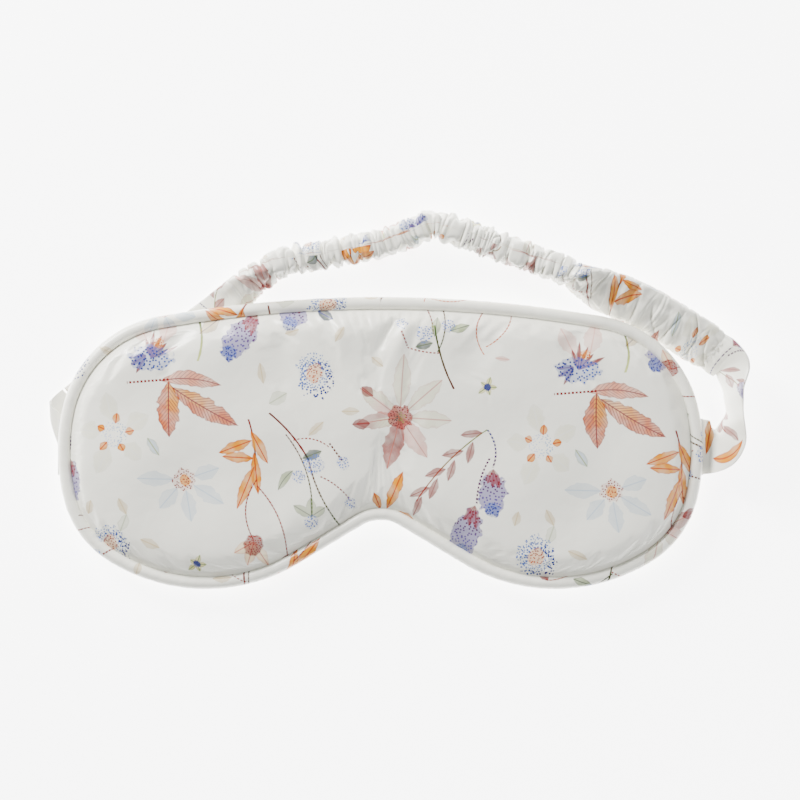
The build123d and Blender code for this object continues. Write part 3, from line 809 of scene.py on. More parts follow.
def back_height(depth):
    """Height of the back panel: down steeply beside the seam, then down to the table."""
    places = [SEAM_INSET, SEAM_INSET + 0.7, REST_INSET]
    slope = np.interp(depth, places, [SEAM_Z - SEAM_SKIN, 3.8, 0.12])
    return slope + 0.35 * np.exp(-((depth - REST_INSET) / 6.0) ** 2)


def crease(x, y, start, end, width, depth):
    """A soft fold in the height along a line: a Gaussian trough with a ridge beside it, fading out
    towards its end."""
    run = np.array(end, float) - np.array(start, float)
    length = np.hypot(*run)
    along = ((x - start[0]) * run[0] + (y - start[1]) * run[1]) / length
    across = ((x - start[0]) * -run[1] + (y - start[1]) * run[0]) / length
    width = width * (1 + 0.8 * np.clip(along / length, 0, 1))
    ridge = np.exp(-(((across - 2.1 * width) / (1.3 * width)) ** 2))
    shape = np.exp(-((across / width) ** 2)) - 0.8 * ridge
    return -depth * shape * ramp(along, -4, 4) * ramp(-along, -length, -0.3 * length)


def settle(obj, weight, pressure, shrink, frames, cap):
    """Lets a sheet settle as cloth, at ten times its size with no gravity: the weighted rim is held,
    the padding under it pushes it out, and a negative shrink gives it spare cloth. No place moves by
    more than the cap, in millimetres."""
    start = vertex_array(obj)
    held = obj.vertex_groups.new(name="Held")
    for level in range(11):
        chosen = np.flatnonzero(np.round(weight * 10) == level)
        if level and len(chosen):
            held.add(chosen.tolist(), level / 10, "REPLACE")
    set_vertices(obj, start * SIMULATION_SCALE)
    cloth = obj.modifiers.new("Cloth", "CLOTH")
    settings = cloth.settings
    settings.quality = 5
    settings.mass = 0.15
    settings.tension_stiffness = settings.compression_stiffness = settings.shear_stiffness = 12
    settings.bending_stiffness = 0.4
    settings.air_damping = 4
    settings.use_pressure = True
    settings.uniform_pressure_force = pressure
    settings.shrink_min = settings.shrink_max = shrink
    settings.vertex_group_mass = "Held"
    settings.effector_weights.gravity = 0
    cloth.collision_settings.use_collision = False
    cloth.collision_settings.use_self_collision = False
    cloth.point_cache.frame_start, cloth.point_cache.frame_end = 1, frames
    for frame_number in range(1, frames + 1):
        bpy.context.scene.frame_set(frame_number)
    apply_modifiers(obj)
    bpy.context.scene.frame_set(1)
    obj.vertex_groups.clear()
    move = vertex_array(obj) / SIMULATION_SCALE - start
    size = np.linalg.norm(move, axis=1, keepdims=True)
    set_vertices(obj, start + move * np.minimum(1, cap / np.maximum(size, 1e-9)))


def panel_object(name, points):
    """A sheet from a grid of places, its cloth map being its plan."""
    rows, columns = points.shape[:2]
    return make_mesh(name, points, grid_faces(rows, columns), points[..., :2])


def build_front_panel():
    """The front panel: a patch inside the seam, raised by the front height, with soft folds, then
    settled as cloth over its padding."""
    s = bpy.context.scene.sleep_mask_padding
    plan = patch(221, 111, SEAM_INSET - 0.3)
    depth = inset_of(plan)
    x, y = plan[..., 0], plan[..., 1]
    z = front_height(depth, s.rise / MM)
    fade_in = ramp(depth, SEAM_INSET, SEAM_INSET + 7)
    folds = crease(x, y, (8, 46), (-6, 22), 1.8, 1.5) + crease(x, y, (-16, 45), (-22, 27), 2.0, 0.7)
    folds += crease(x, y, (-34, 46), (-36, 36), 1.4, 0.3)
    folds += crease(x, y, (30, -33), (18, -18), 2.0, 0.4)
    folds += crease(x, y, (-30, -34), (-20, -20), 2.2, 0.35)
    folds += crease(x, y, (70, 44), (58, 30), 2.2, 0.3)
    z = z + (folds + 0.4 * smooth_noise(x, y, 38, 5)) * fade_in * s.creases
    rim = EDGE_LENGTH * np.arctan2(y - HEART[1], x) / (2 * math.pi)
    gather = 0.16 * smooth_noise(rim, depth * 0.2, 5.0, 11)
    gather = gather * np.exp(-np.maximum(depth - SEAM_INSET, 0) / 4)
    z = z + gather * ramp(depth, SEAM_INSET, SEAM_INSET + 1.5)
    z = np.minimum(z, PANEL_TOP + 1.2)
    obj = panel_object("front_panel_satin", np.stack([x, y, z], -1))
    held = np.clip(1 - (depth.ravel() - SEAM_INSET - 0.5) / 2.0, 0, 1)
    settle(obj, held, pressure=0.6, shrink=-0.012, frames=18, cap=0.9)
    finish_with(obj, "SUBSURF", levels=1, render_levels=1, subdivision_type="SIMPLE")
    finish_with(obj, "SMOOTH", factor=0.5, iterations=3)
    return obj


def build_back_panel():
    """The back panel: a patch that slopes to the flat rest area, its edge cut back where the strap's
    ends come out."""
    cut = ramp(ROOT_WIDTH / 2 + 1.6 - np.abs(EDGE[:, 1] - STRAP_MID_Y), 0, 1.2)
    cut = cut * (np.abs(EDGE[:, 0]) > 0.8 * HALF_WIDTH)
    plan = patch(221, 111, (SEAM_INSET - 0.2 + 2.6 * cut)[:, None])[::-1]
    depth = inset_of(plan)
    x, y = plan[..., 0], plan[..., 1]
    z = back_height(depth)
    slope = ramp(depth, SEAM_INSET + 1, SEAM_INSET + 6) * ramp(-depth, -27, -18)
    z = z + 0.16 * smooth_noise(x, y, 12, 21) * slope
    z = z + 0.1 * smooth_noise(x, y, 30, 23) * ramp(depth, 20, 30)
    return panel_object("back_panel_satin", np.stack([x, y, np.maximum(z, 0.05)], -1))


def build_piping():
    """The piping's cover: one bias strip carried round the outline, as two flanges in the seam joined
    by a round over the cord. Its round swells and puckers a little along its length."""
    steps, arc = 1400, np.radians(np.linspace(4, 356, 33))
    flange = np.linspace(SEAM_INSET + 5.8, SEAM_INSET + 0.4, 4)
    inset = np.concatenate([flange, PIPING_RADIUS + PIPING_RADIUS * np.cos(arc), flange[::-1]])
    level = np.concatenate([np.full(4, 0.12), PIPING_RADIUS * np.sin(arc), np.full(4, -0.12)])
    round_part = np.concatenate([np.zeros(4), np.ones(len(arc)), np.zeros(4)])
    share = np.linspace(0, 1, steps, endpoint=False)
    s = share * EDGE_LENGTH
    around = np.concatenate([[0], np.cumsum(np.hypot(np.diff(inset), np.diff(level)))])
    circle_s, circle_c = np.sin(2 * math.pi * share) * 90, np.cos(2 * math.pi * share) * 90
    swell = 1 + 0.018 * smooth_noise(circle_s, circle_c, 5.0, 31)[:, None]
    twist = smooth_noise(circle_s[:, None] + around * 0.5, circle_c[:, None] - around * 0.5, 2.6, 33)
    out = round_part * ((swell - 1) + 0.012 * twist)
    deep = inset + (inset - PIPING_RADIUS) * out
    xy, _ = edge_at(np.repeat(share[:, None], len(inset), 1), deep)
    z = SEAM_Z + level * (1 + out)
    points = np.concatenate([xy, z[..., None]], -1)
    bias = math.sqrt(0.5)
    cloth = np.stack([bias * (s[:, None] - around), bias * (s[:, None] + around)], -1) + PIPING_CUT
    faces = grid_faces(steps, len(inset), wrap_rows=True)
    obj = make_mesh("piping_satin", points, faces, cloth)
    return obj, around[-1]


def closed_pad(name, plan, top, bottom):
    """A stuffed pad: two skins over one plan, joined round the rim."""
    rows, columns = plan.shape[:2]
    upper = np.concatenate([plan, top[..., None]], -1).reshape(-1, 3)
    lower = np.concatenate([plan, bottom[..., None]], -1).reshape(-1, 3)
    faces = grid_faces(rows, columns)
    index = np.arange(rows * columns).reshape(rows, columns)
    rim = np.concatenate([index[0, :-1], index[:-1, -1], index[-1, :0:-1], index[:0:-1, 0]])
    after = np.roll(rim, -1)
    count = rows * columns
    wall = np.stack([after, rim, rim + count, after + count], -1)
    faces = np.concatenate([faces, faces[:, ::-1] + count, wall])
    return make_mesh(name, np.concatenate([upper, lower]), faces)


def build_wadding():
    """The two layers of wadding, each one cloth's clearance inside its panel, with a lumpy skin."""
    s = bpy.context.scene.sleep_mask_padding
    plan = patch(151, 81, SEAM_INSET + 2.2)
    depth, x, y = inset_of(plan), plan[..., 0], plan[..., 1]
    floor = np.where(depth < SEAM_INSET + 6.6, SEAM_Z + 1.3, SEAM_Z + 0.2)
    skin = front_height(depth, s.rise / MM)
    floor = np.minimum(floor, skin - 1.0)
    top = skin - 0.75 - 0.12 * np.abs(smooth_noise(x, y, 9, 41)) - 0.9 * ramp(depth, 4, 9) * s.creases
    front = closed_pad("front_wadding_pad", plan, np.maximum(top, floor + 0.2), floor)
    plan = patch(151, 81, SEAM_INSET + 6.6)
    depth, x, y = inset_of(plan), plan[..., 0], plan[..., 1]
    bottom = back_height(depth) + 0.6 + 0.1 * np.abs(smooth_noise(x, y, 9, 43))
    back = closed_pad("back_wadding_pad", plan, np.full(depth.shape, SEAM_Z - 0.2), bottom)
    return front, back


# ---------------------------------------------------------------------------------------------
# The strap
# ---------------------------------------------------------------------------------------------
def station(x, y, bank, width, thickness):
    """One place on the strap: its plan place, how far it banks up on its inner edge in degrees, and
    the size of its section."""
    return [x, y, bank, width, thickness]


# From the right seam over its fold, past the twist and the summit, and back under the left of the
# mask, in millimetres
STATIONS = np.array([
    station(104.5, -1.3, 0, 18.6, 1.0), station(109.0, -1.3, 6, 18.4, 1.0),
    station(113.2, -0.9, 28, 18.0, 1.1), station(116.2, 1.6, 52, 17.4, 1.2),
    station(118.0, 9.5, 76, 16.6, 1.2), station(117.2, 18.0, 72, 16.4, 1.6),
    station(117.0, 26.0, 46, 16.8, 2.2), station(110.6, 31.0, 30, 17.0, 2.8),
    station(100.2, 37.5, 30, 17.0, 3.0), station(89.0, 44.2, 30, 17.0, 3.0),
    station(79.8, 48.7, 32, 16.8, 3.0), station(72.0, 51.7, 36, 16.2, 3.4),
    station(66.3, 54.4, 60, 14.0, 5.0), station(61.0, 57.8, 84, 12.4, 8.0),
    station(46.0, 63.0, 90, 12.2, 8.2), station(30.0, 69.0, 90, 12.2, 8.2),
    station(17.8, 73.2, 90, 12.2, 8.2), station(2.0, 66.8, 90, 12.2, 8.2),
    station(-20.0, 62.4, 90, 12.2, 8.2), station(-33.0, 60.4, 84, 12.2, 8.0),
    station(-42.0, 54.2, 50, 12.0, 5.8), station(-48.0, 49.4, 18, 12.0, 3.0),
    station(-55.0, 43.8, 0, 12.0, 1.8), station(-64.0, 37.4, 0, 11.6, 1.7),
    station(-77.0, 32.4, 0, 11.6, 1.7), station(-93.0, 21.2, 0, 11.6, 1.7),
    station(-102.3, 13.6, 0, 12.0, 1.7),
])
FOLD_STATION, PUCKER_X = 6, 111.0


def strap_course(first, last, spacing):
    """The strap's centre line between two shares of its stations, softened by a Gaussian of the
    stations' own run: places along it, its frame and its section sizes."""
    runs = np.concatenate([[0], np.cumsum(np.hypot(*np.diff(STATIONS[:, :2], axis=0).T))])
    fine = np.arange(0, runs[-1], 0.25)
    values = np.stack([np.interp(fine, runs, column) for column in STATIONS.T], 1)
    reach = np.arange(-24, 25) * 0.25
    kernel = np.exp(-((reach / 1.8) ** 2))
    kernel /= kernel.sum()
    padded = np.concatenate([
        2 * values[0] - values[24:0:-1], values, 2 * values[-1] - values[-2:-26:-1]
    ])
    values = np.stack([np.convolve(column, kernel, "valid") for column in padded.T], 1)
    along = np.concatenate([[0], np.cumsum(np.hypot(*np.diff(values[:, :2], axis=0).T))])
    start, end = np.interp([runs[first], runs[last]], fine, along)
    s = np.arange(start, end, spacing)
    x, y, bank, width, thick = (np.interp(s, along, column) for column in values.T)
    heading = np.arctan2(np.gradient(y, s), np.gradient(x, s))
    right = np.stack([np.sin(heading), -np.cos(heading), np.zeros(len(s))], 1)
    tilt = np.radians(bank)[:, None]
    up = np.array([0.0, 0.0, 1.0])
    across = np.cos(tilt) * right + np.sin(tilt) * up
    normal = -np.sin(tilt) * right + np.cos(tilt) * up
    z = 0.25 + (width * np.sin(tilt[:, 0]) + thick * np.cos(tilt[:, 0])) / 2
    if first == 0:
        near_seam = ramp(x, 108, 106)
        z = z * (1 - near_seam) + ROOT_Z * near_seam
        z = np.maximum(z, ROOT_Z * ramp(x, 116.5, 107.5))
    return s - s[0], np.stack([x, y, z], 1), across, normal, width, thick


def band(course, around, swell, edge, power=0.55):
    """A tube round a strap course. Its section is the superellipse cos^p, sin^p of the section's half
    sizes; swell moves its skin out along the normal and edge widens it, both in millimetres."""
    _, centre, across, normal, width, thick = course
    theta = np.linspace(0, 2 * math.pi, around, endpoint=False)
    c, d = np.cos(theta), np.sin(theta)
    c = np.sign(c) * np.abs(c) ** 0.85
    d = np.sign(d) * np.abs(d) ** power
    w = (width[:, None] / 2 + edge) * c
    h = (thick[:, None] / 2) * d + swell * np.sign(d) * np.abs(d) ** 0.7
    return centre[:, None] + across[:, None] * w[..., None] + normal[:, None] * h[..., None]


def tube_object(name, points, cloth):
    """A tube of rings, closed at both ends by a fan of its last ring."""
    rings, around = points.shape[:2]
    faces = grid_faces(rings, around, wrap_columns=True).tolist()
    faces.append(list(range(around)))
    faces.append(list(range((rings - 1) * around, rings * around))[::-1])
    return make_mesh(name, points, faces, cloth)


def pleats(s, across, seed, spacing, slant):
    """Gathers: 1 on the puffs and 0 in the creases between them. Creases come at random gaps round
    the spacing, each with its own slant, depth and width, and run out before the far edge."""
    rng = np.random.default_rng(seed)
    height = np.ones(np.broadcast(s, across).shape)
    place = -6.0
    while place < s.max() + 6:
        lean, bow = rng.normal(0, slant), rng.normal(0, 0.02)
        line = place + lean * across + bow * across**2
        depth = rng.uniform(0.45, 1.0)
        sharp = rng.uniform(0.22, 0.62)
        middle, span = rng.uniform(-5, 5), rng.uniform(6, 13)
        window = np.exp(-(((across - middle) / span) ** 4))
        away = np.abs(s - line) / sharp
        height = np.minimum(height, 1 - depth * window * np.exp(-(away**1.4)))
        place += spacing * rng.uniform(0.45, 1.6)
    return height


def build_casing():
    """The gathered casing: a tube along the strap from its right fold to its hidden left end, its two
    faces pleated apart from each other."""
    s_ = bpy.context.scene.sleep_mask_strap
    course = strap_course(FOLD_STATION - 1, len(STATIONS) - 1, 0.22)
    s, centre, _, _, width, thick = course
    around = 72
    theta = np.linspace(0, 2 * math.pi, around, endpoint=False)
    side = np.cos(theta)[None] * width[:, None] / 2
    grown = s[:, None]
    face = ramp(np.sin(theta), -0.25, 0.25)[None]
    gap = s_.crease_gap / MM
    coarse = pleats(grown, side, 51, gap, 0.28)
    coarse_back = pleats(grown, -side, 52, gap, 0.28)
    fine = pleats(grown, side, 53, gap * 0.42, 0.4)
    fine_back = pleats(grown, -side, 54, gap * 0.42, 0.4)
    puff = coarse * face + coarse_back * (1 - face)
    small = fine * face + fine_back * (1 - face)
    upright = ramp(thick, 3.2, 6.5)
    start = ramp(centre[:, 0], 117.0, 109.0)
    depth = (0.85 + 1.0 * upright) * start * ramp(thick, 1.7, 3.0)
    depth = np.maximum(depth, 0.12 * start)[:, None] * s_.crease_depth
    swell = depth * (puff - 0.8) * 1.25 + depth * 0.42 * (small - 0.85)
    swell = swell + 0.25 * depth * smooth_noise(grown, side, 6.0, 55)
    ring = np.minimum(coarse, coarse_back).mean(1)
    edge = ((ring - ring.mean()) * 2.2 * upright * s_.crease_depth)[:, None]
    edge = edge + 0.5 * depth * (small - 0.9)
    pucker = np.exp(-(((centre[:, 0] - PUCKER_X) / 1.6) ** 2)) * (centre[:, 1] < 40)
    edge = edge - 0.7 * pucker[:, None]
    swell = swell - 0.45 * pucker[:, None] * (1 + 0.5 * np.sin(side * 1.9))
    points = band(course, around, swell, edge)
    points[..., 2] = np.maximum(points[..., 2], 0.05)
    cloth = np.stack([
        np.broadcast_to(grown * s_.fullness + CASING_CUT[0], side.shape),
        np.broadcast_to(theta[None] / (2 * math.pi) * CASING_GIRTH + CASING_CUT[1], side.shape),
    ], -1)
    return tube_object("strap_casing_satin", points, cloth), s[-1]


def build_elastic():
    """The elastic: a flat tape inside the casing, along the same course."""
    s, centre, across, normal, width, _ = strap_course(FOLD_STATION + 1, len(STATIONS) - 1, 0.8)
    corner = np.array([[-1, -1], [1, -1], [1, 1], [-1, 1]]) * [4.3, 0.4]
    half = corner[None] * np.minimum(1, (width / 12.0))[:, None, None]
    points = centre[:, None] + across[:, None] * half[..., :1] + normal[:, None] * half[..., 1:]
    cloth = np.stack([np.broadcast_to([0, 8.6, 9.4, 18], (len(s), 4)), np.repeat(s[:, None], 4, 1)], -1)
    return tube_object("elastic_tape", points, cloth)


def build_right_tab():
    """The smooth right end of the strap, from the seam to its fold."""
    course = strap_course(0, FOLD_STATION, 0.4)
    s, _, _, _, width, _ = course
    around = 48
    theta = np.linspace(0, 2 * math.pi, around, endpoint=False)
    side = np.cos(theta)[None] * width[:, None] / 2
    swell = 0.16 * smooth_noise(s[:, None], side * 0.6, 9.0, 61) * ramp(s, 3, 9)[:, None]
    fit = -0.25 * ramp(s, s[-1] - 6, s[-1])[:, None]
    points = band(course, around, swell + 0.3 * fit, fit)
    cloth = np.stack([
        np.broadcast_to(s[:, None] + RIGHT_CUT[0], side.shape),
        np.broadcast_to(theta[None] / (2 * math.pi) * TAB_GIRTH + RIGHT_CUT[1], side.shape),
    ], -1)
    return tube_object("strap_tab_right_satin", points, cloth), s[-1]


def build_left_tab():
    """The smooth left end: out of the seam, over a round fold and back under the mask. Every line
    along it is a cubic curve between the seam's edge and the casing's end; the fold turns as it goes,
    so its front end reaches less far back."""
    u = np.linspace(0, 1, 40)[None, :, None]
    v = np.linspace(0, 1, 48)[:, None]
    seam_x = 3.0 - HALF_WIDTH
    fold_x = 1.5 - HALF_WIDTH - 6.0 * ramp(v, 0.0, 0.8)
    low_y = STRAP_MID_Y - ROOT_WIDTH / 2
    fold_y = -9.0 + 22.5 * v
    zero = np.zeros_like(v)
    first = np.concatenate([zero + seam_x, low_y + ROOT_WIDTH * v, zero + ROOT_Z], 1)
    over = np.concatenate([fold_x, fold_y, zero + ROOT_Z + 0.1], 1)
    under = np.concatenate([fold_x, fold_y, zero + 0.45], 1)
    last = np.concatenate([-98.1 - 8.4 * v, 9.3 + 8.6 * v, zero + 0.85], 1)
    a, b, c, d = (part[:, None] for part in (first, over, under, last))
    points = a * (1 - u) ** 3 + 3 * b * u * (1 - u) ** 2 + 3 * c * u**2 * (1 - u) + d * u**3
    run = np.linalg.norm(np.diff(points, axis=1), axis=-1)
    along = np.concatenate([np.zeros((len(v), 1)), np.cumsum(run, 1)], 1)
    width = np.broadcast_to(ROOT_WIDTH * v + LEFT_CUT[1], along.shape)
    cloth = np.stack([along + LEFT_CUT[0], width], -1)
    obj = make_mesh("strap_tab_left_satin", points, grid_faces(*points.shape[:2])[:, ::-1], cloth)
    length = float(along[:, -1].mean())
    finish_with(obj, "SOLIDIFY", thickness=0.9 * MM, offset=0.0)
    return obj, length


def build_pucker_stitches():
    """Small back stitches across the strap where the elastic's end is caught: five short arcs of
    thread, each a round tube along half a sine."""
    _, centre, across, normal, _, thick = strap_course(FOLD_STATION - 1, FOLD_STATION + 3, 0.1)
    k = int(np.argmin(np.abs(centre[:, 0] - PUCKER_X) + (centre[:, 1] > 40) * 99))
    points, faces = [], []
    u = np.linspace(0, 1, 9)[:, None]
    turn = np.linspace(0, 2 * math.pi, 8, endpoint=False)[None, :]
    for stitch in range(5):
        place = (stitch - 2) * 2.2
        lift = thick[k] / 2 - 0.12 + 0.3 * np.sin(math.pi * u)
        line = centre[k] + across[k] * (place + 1.5 * (u - 0.5)) + normal[k] * lift
        along = np.cross(across[k], normal[k])
        ring = 0.17 * (np.cos(turn)[..., None] * along + np.sin(turn)[..., None] * normal[k])
        faces.append(grid_faces(9, 8, wrap_columns=True) + 72 * stitch)
        points.append((line[:, None] + ring).reshape(-1, 3))
    return make_mesh("pucker_stitches", np.concatenate(points), np.concatenate(faces))


# ---------------------------------------------------------------------------------------------
# The stage
# ---------------------------------------------------------------------------------------------
FLOOR_REACH = 2000.0
LIGHT_AIM = (0, 0.01, 0)
SENSOR_WIDTH = 36.0


def area_light(name, place, size, power, tint):
    """A square soft light that faces the mask."""
    light = bpy.data.lights.new(name, "AREA")
    light.shape, light.size, light.energy, light.color = "SQUARE", size, power, tint
    obj = bpy.data.objects.new(name, light)
    bpy.context.scene.collection.objects.link(obj)
    obj.location = place
    direction = np.array(LIGHT_AIM) - np.array(place)
    flat = math.hypot(direction[0], direction[1])
    bearing = math.atan2(direction[0], -direction[1])
    obj.rotation_euler = (math.atan2(flat, -direction[2]), 0, bearing + math.pi)


def build_stage():
    """A pale glowing floor, an even pale sky, two soft lights and the camera straight above."""
    s = bpy.context.scene.sleep_mask_stage
    corners = np.array([[-1, -1, 0], [1, -1, 0], [1, 1, 0], [-1, 1, 0.0]]) * FLOOR_REACH
    floor = make_mesh("floor", corners, [[0, 1, 2, 3]], smooth=False)
    tint = tuple(s.floor_colour)
    second = tuple(v * 0.99 for v in tint[:3]) + (1.0,)
    card = plain_material("Floor card", tint, second, 0.02, 0.9, 0.01)
    shader = next(node for node in card.node_tree.nodes if node.type == "BSDF_PRINCIPLED")
    shader.inputs["Emission Color"].default_value = (1.0, 1.0, 1.0, 1.0)
    shader.inputs["Emission Strength"].default_value = s.floor_glow
    dress(floor, card)
    world = bpy.data.worlds.new("Pale sky")
    world.use_nodes = True
    world.node_tree.nodes["Background"].inputs["Color"].default_value = (0.97, 0.985, 1.0, 1)
    world.node_tree.nodes["Background"].inputs["Strength"].default_value = s.sky
    bpy.context.scene.world = world
    area_light("key_light", (-0.7, 0.85, 0.5), 0.45, s.key, (1.0, 0.99, 0.97))
    area_light("fill_light", (0.8, -0.35, 0.8), 0.7, s.key * 0.2, (0.97, 0.985, 1.0))
    camera = bpy.data.cameras.new("camera")
    camera.lens = SENSOR_WIDTH * s.height / s.view_width
    camera.clip_start = 0.01
    obj = bpy.data.objects.new("camera", camera)
    bpy.context.scene.collection.objects.link(obj)
    obj.location = (s.view_x, s.view_y, s.height)
    bpy.context.scene.camera = obj


# ---------------------------------------------------------------------------------------------
# Properties, operators and the sidebar panel
# ---------------------------------------------------------------------------------------------
def length(name, description, default, **limits):
    """A property in metres."""
    return bpy.props.FloatProperty(
        name=name, description=description, subtype="DISTANCE", unit="LENGTH", default=default, **limits
    )


def number(name, description, default, **limits):
    """A plain property."""
    return bpy.props.FloatProperty(name=name, description=description, default=default, **limits)


def colour(name, description, default):
    """A colour property."""
    return bpy.props.FloatVectorProperty(
        name=name, description=description, subtype="COLOR", size=4, min=0, max=1, default=default
    )


class SLEEPMASK_PG_cloth(bpy.types.PropertyGroup):
    """Finish of the printed satin."""

    ground: colour("Ground colour", "The satin's own colour under the print", (0.85, 0.84, 0.75, 1.0))
    roughness: number("Roughness", "How broad the satin's highlights are", 0.3, min=0.1, max=1)
    sheen: number("Sheen", "Soft edge glow of the cloth", 0.2, min=0, max=1)


class SLEEPMASK_PG_padding(bpy.types.PropertyGroup):
    """How full the mask is."""

    rise: length("Rise", "How far the front stands up from its seam", 0.0043, min=0.001, max=0.012)
    creases: number("Folds", "Depth of the soft folds, as a share", 1.0, min=0, max=2)


class SLEEPMASK_PG_strap(bpy.types.PropertyGroup):
    """How the strap is gathered."""

    crease_gap: length("Crease gap", "Usual distance between two gathers", 0.0062, min=0.002, max=0.02)
    crease_depth: number("Crease depth", "Depth of the gathers, as a share", 1.3, min=0, max=2)
    fullness: number("Fullness", "Length of casing cloth for each length of strap", 1.5, min=1, max=3)


class SLEEPMASK_PG_stage(bpy.types.PropertyGroup):
    """Floor, light and camera."""

    floor_colour: colour("Floor colour", "Colour of the floor card", (0.9, 0.9, 0.9, 1.0))
    floor_glow: number("Floor glow", "How strongly the floor itself glows", 6.0, min=0)
    sky: number("Sky", "Strength of the even light", 0.3, min=0)
    key: number("Key", "Strength of the soft key light", 52.0, min=0)
    height: length("Camera height", "Height of the camera above the floor", 1.2, min=0.3)
    view_width: length("View width", "Width of the floor in view", 0.2679, min=0.1)
    view_x: length("View x", "Where the camera stands to the right", 0.0065)
    view_y: length("View y", "Where the camera stands towards the forehead edge", 0.01433)


def satin(crease=0.5, name="Printed satin"):
    """The printed satin material of that pucker depth, made once for each name."""
    found = bpy.data.materials.get(name)
    ground = bpy.context.scene.sleep_mask_cloth.ground
    return found or satin_material(name, shared_print(), ground, crease)


def shared_print():
    """The one print group that every satin uses."""
    return bpy.data.node_groups.get("Satin print") or print_group()


class SLEEPMASK_OT_panels(bpy.types.Operator):
    """Build the front and back panels"""

    bl_idname = "sleep_mask.panels"
    bl_label = "Panels"

    def execute(self, context):
        front = build_front_panel()
        dress(front, satin())
        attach(front, "mask")
        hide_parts("front_panel")
        back = build_back_panel()
        dress(back, satin(0.35, "Printed satin, back"))
        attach(back, "mask")
        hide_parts("back_panel")
        return {"FINISHED"}


class SLEEPMASK_OT_padding(bpy.types.Operator):
    """Build the two layers of wadding"""

    bl_idname = "sleep_mask.padding"
    bl_label = "Wadding"

    def execute(self, context):
        wool = plain_material(
            "Wadding", (0.78, 0.78, 0.76, 1), (0.88, 0.88, 0.87, 1), 0.5, 0.95, 0.4, sheen=0.3
        )
        for obj, node in zip(build_wadding(), ("front_wadding", "back_wadding")):
            dress(obj, wool)
            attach(obj, "mask")
            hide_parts(node)
        return {"FINISHED"}


class SLEEPMASK_OT_piping(bpy.types.Operator):
    """Build the piping's satin cover"""

    bl_idname = "sleep_mask.piping"
    bl_label = "Piping"

    def execute(self, context):
        obj, strip = build_piping()
        dress(obj, satin(0.25, "Printed satin, bias"))
        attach(obj, "mask")
        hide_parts("piping_cover")
        return {"FINISHED"}


class SLEEPMASK_OT_strap(bpy.types.Operator):
    """Build the gathered casing, its elastic and the stitches that hold it"""

    bl_idname = "sleep_mask.strap"
    bl_label = "Strap"

    def execute(self, context):
        casing, length = build_casing()
        gathered = satin(0.7, "Printed satin, gathered")
        dress(casing, gathered)
        elastic = build_elastic()
        dress(elastic, elastic_material())
        stitches = build_pucker_stitches()
        dress(stitches, thread_material())
        for obj in (casing, elastic):
            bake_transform(obj)
        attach(stitches, "strap")
        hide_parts("strap_casing_right", "strap_casing_back", "strap_casing_left")
        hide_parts("elastic_right", "elastic_back", "elastic_left")
        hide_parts("elastic_tack_right")
        return {"FINISHED"}


class SLEEPMASK_OT_tabs(bpy.types.Operator):
    """Build the smooth ends of the strap"""

    bl_idname = "sleep_mask.tabs"
    bl_label = "Strap ends"

    def execute(self, context):
        right, right_length = build_right_tab()
        left, left_length = build_left_tab()
        for obj in (right, left):
            dress(obj, satin(0.4, "Printed satin, strap ends"))
        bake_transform(right)
        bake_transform(left)
        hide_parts("strap_tab_right")
        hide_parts("strap_tab_left")
        return {"FINISHED"}


class SLEEPMASK_OT_hidden(bpy.types.Operator):
    """Finish the pieces carried over from the frame"""

    bl_idname = "sleep_mask.hidden"
    bl_label = "Cord, liner, threads"

    def execute(self, context):
        cord = plain_material(
            "Cotton cord", (0.74, 0.72, 0.66, 1), (0.86, 0.85, 0.8, 1), 1.4, 0.9, 0.25, stretch=(1, 1, 3)
        )
        liner = plain_material(
            "Black liner", (0.01, 0.01, 0.012, 1), (0.03, 0.03, 0.034, 1), 2.0, 0.8, 0.1
        )
        ivory = plain_material(
            "Plain satin", (0.78, 0.78, 0.75, 1), (0.84, 0.84, 0.81, 1), 0.25, 0.4, 0.12, sheen=0.2
        )
        thread = thread_material()
        finishes = {
            "piping_cord": cord, "blackout_liner": liner, "seam_thread": thread,
            "strap_root_left": ivory, "strap_root_right": ivory, "root_tack_left": thread,
            "root_tack_right": thread, "elastic_tack_left": thread,
        }
        for node, material in finishes.items():
            dress(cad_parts[node], material)
        return {"FINISHED"}


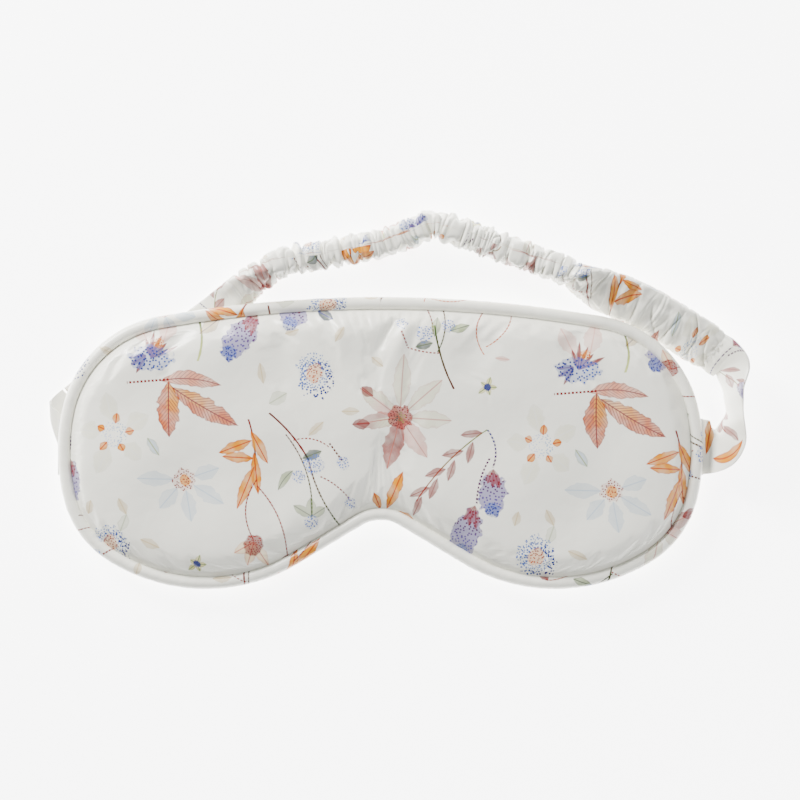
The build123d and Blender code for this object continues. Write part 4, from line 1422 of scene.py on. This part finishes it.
class SLEEPMASK_OT_stage(bpy.types.Operator):
    """Build the floor, the lights and the camera"""

    bl_idname = "sleep_mask.stage"
    bl_label = "Stage"

    def execute(self, context):
        build_stage()
        return {"FINISHED"}


class SLEEPMASK_PT_main(bpy.types.Panel):
    """Sizes, colours and build steps of the sleep mask"""

    bl_label = "Sleep Mask"
    bl_space_type = "VIEW_3D"
    bl_region_type = "UI"
    bl_category = "Sleep Mask"

    def draw(self, context):
        for name, kind in PROPERTIES.items():
            box = self.layout.box()
            box.label(text=kind.__doc__)
            for field in kind.__annotations__:
                box.prop(getattr(context.scene, name), field)
        for kind in OPERATORS:
            self.layout.operator(kind.bl_idname)


PROPERTIES = {
    "sleep_mask_cloth": SLEEPMASK_PG_cloth,
    "sleep_mask_padding": SLEEPMASK_PG_padding,
    "sleep_mask_strap": SLEEPMASK_PG_strap,
    "sleep_mask_stage": SLEEPMASK_PG_stage,
}
OPERATORS = [
    SLEEPMASK_OT_padding, SLEEPMASK_OT_panels, SLEEPMASK_OT_piping, SLEEPMASK_OT_tabs,
    SLEEPMASK_OT_strap, SLEEPMASK_OT_hidden, SLEEPMASK_OT_stage,
]


def register():
    """Registers the classes and hangs the properties on the scene."""
    for kind in [*PROPERTIES.values(), *OPERATORS, SLEEPMASK_PT_main]:
        bpy.utils.register_class(kind)
    for name, kind in PROPERTIES.items():
        setattr(bpy.types.Scene, name, bpy.props.PointerProperty(type=kind))


def unregister():
    """Takes away what register added."""
    for name in PROPERTIES:
        delattr(bpy.types.Scene, name)
    for kind in [SLEEPMASK_PT_main, *reversed(OPERATORS), *PROPERTIES.values()]:
        bpy.utils.unregister_class(kind)


def main():
    """Builds every piece in order."""
    register()
    bpy.ops.sleep_mask.padding()
    bpy.ops.sleep_mask.panels()
    bpy.ops.sleep_mask.piping()
    bpy.ops.sleep_mask.tabs()
    bpy.ops.sleep_mask.strap()
    bpy.ops.sleep_mask.hidden()
    bpy.ops.sleep_mask.stage()
    bpy.context.view_layer.update()


if __name__ == "__main__":
    main()
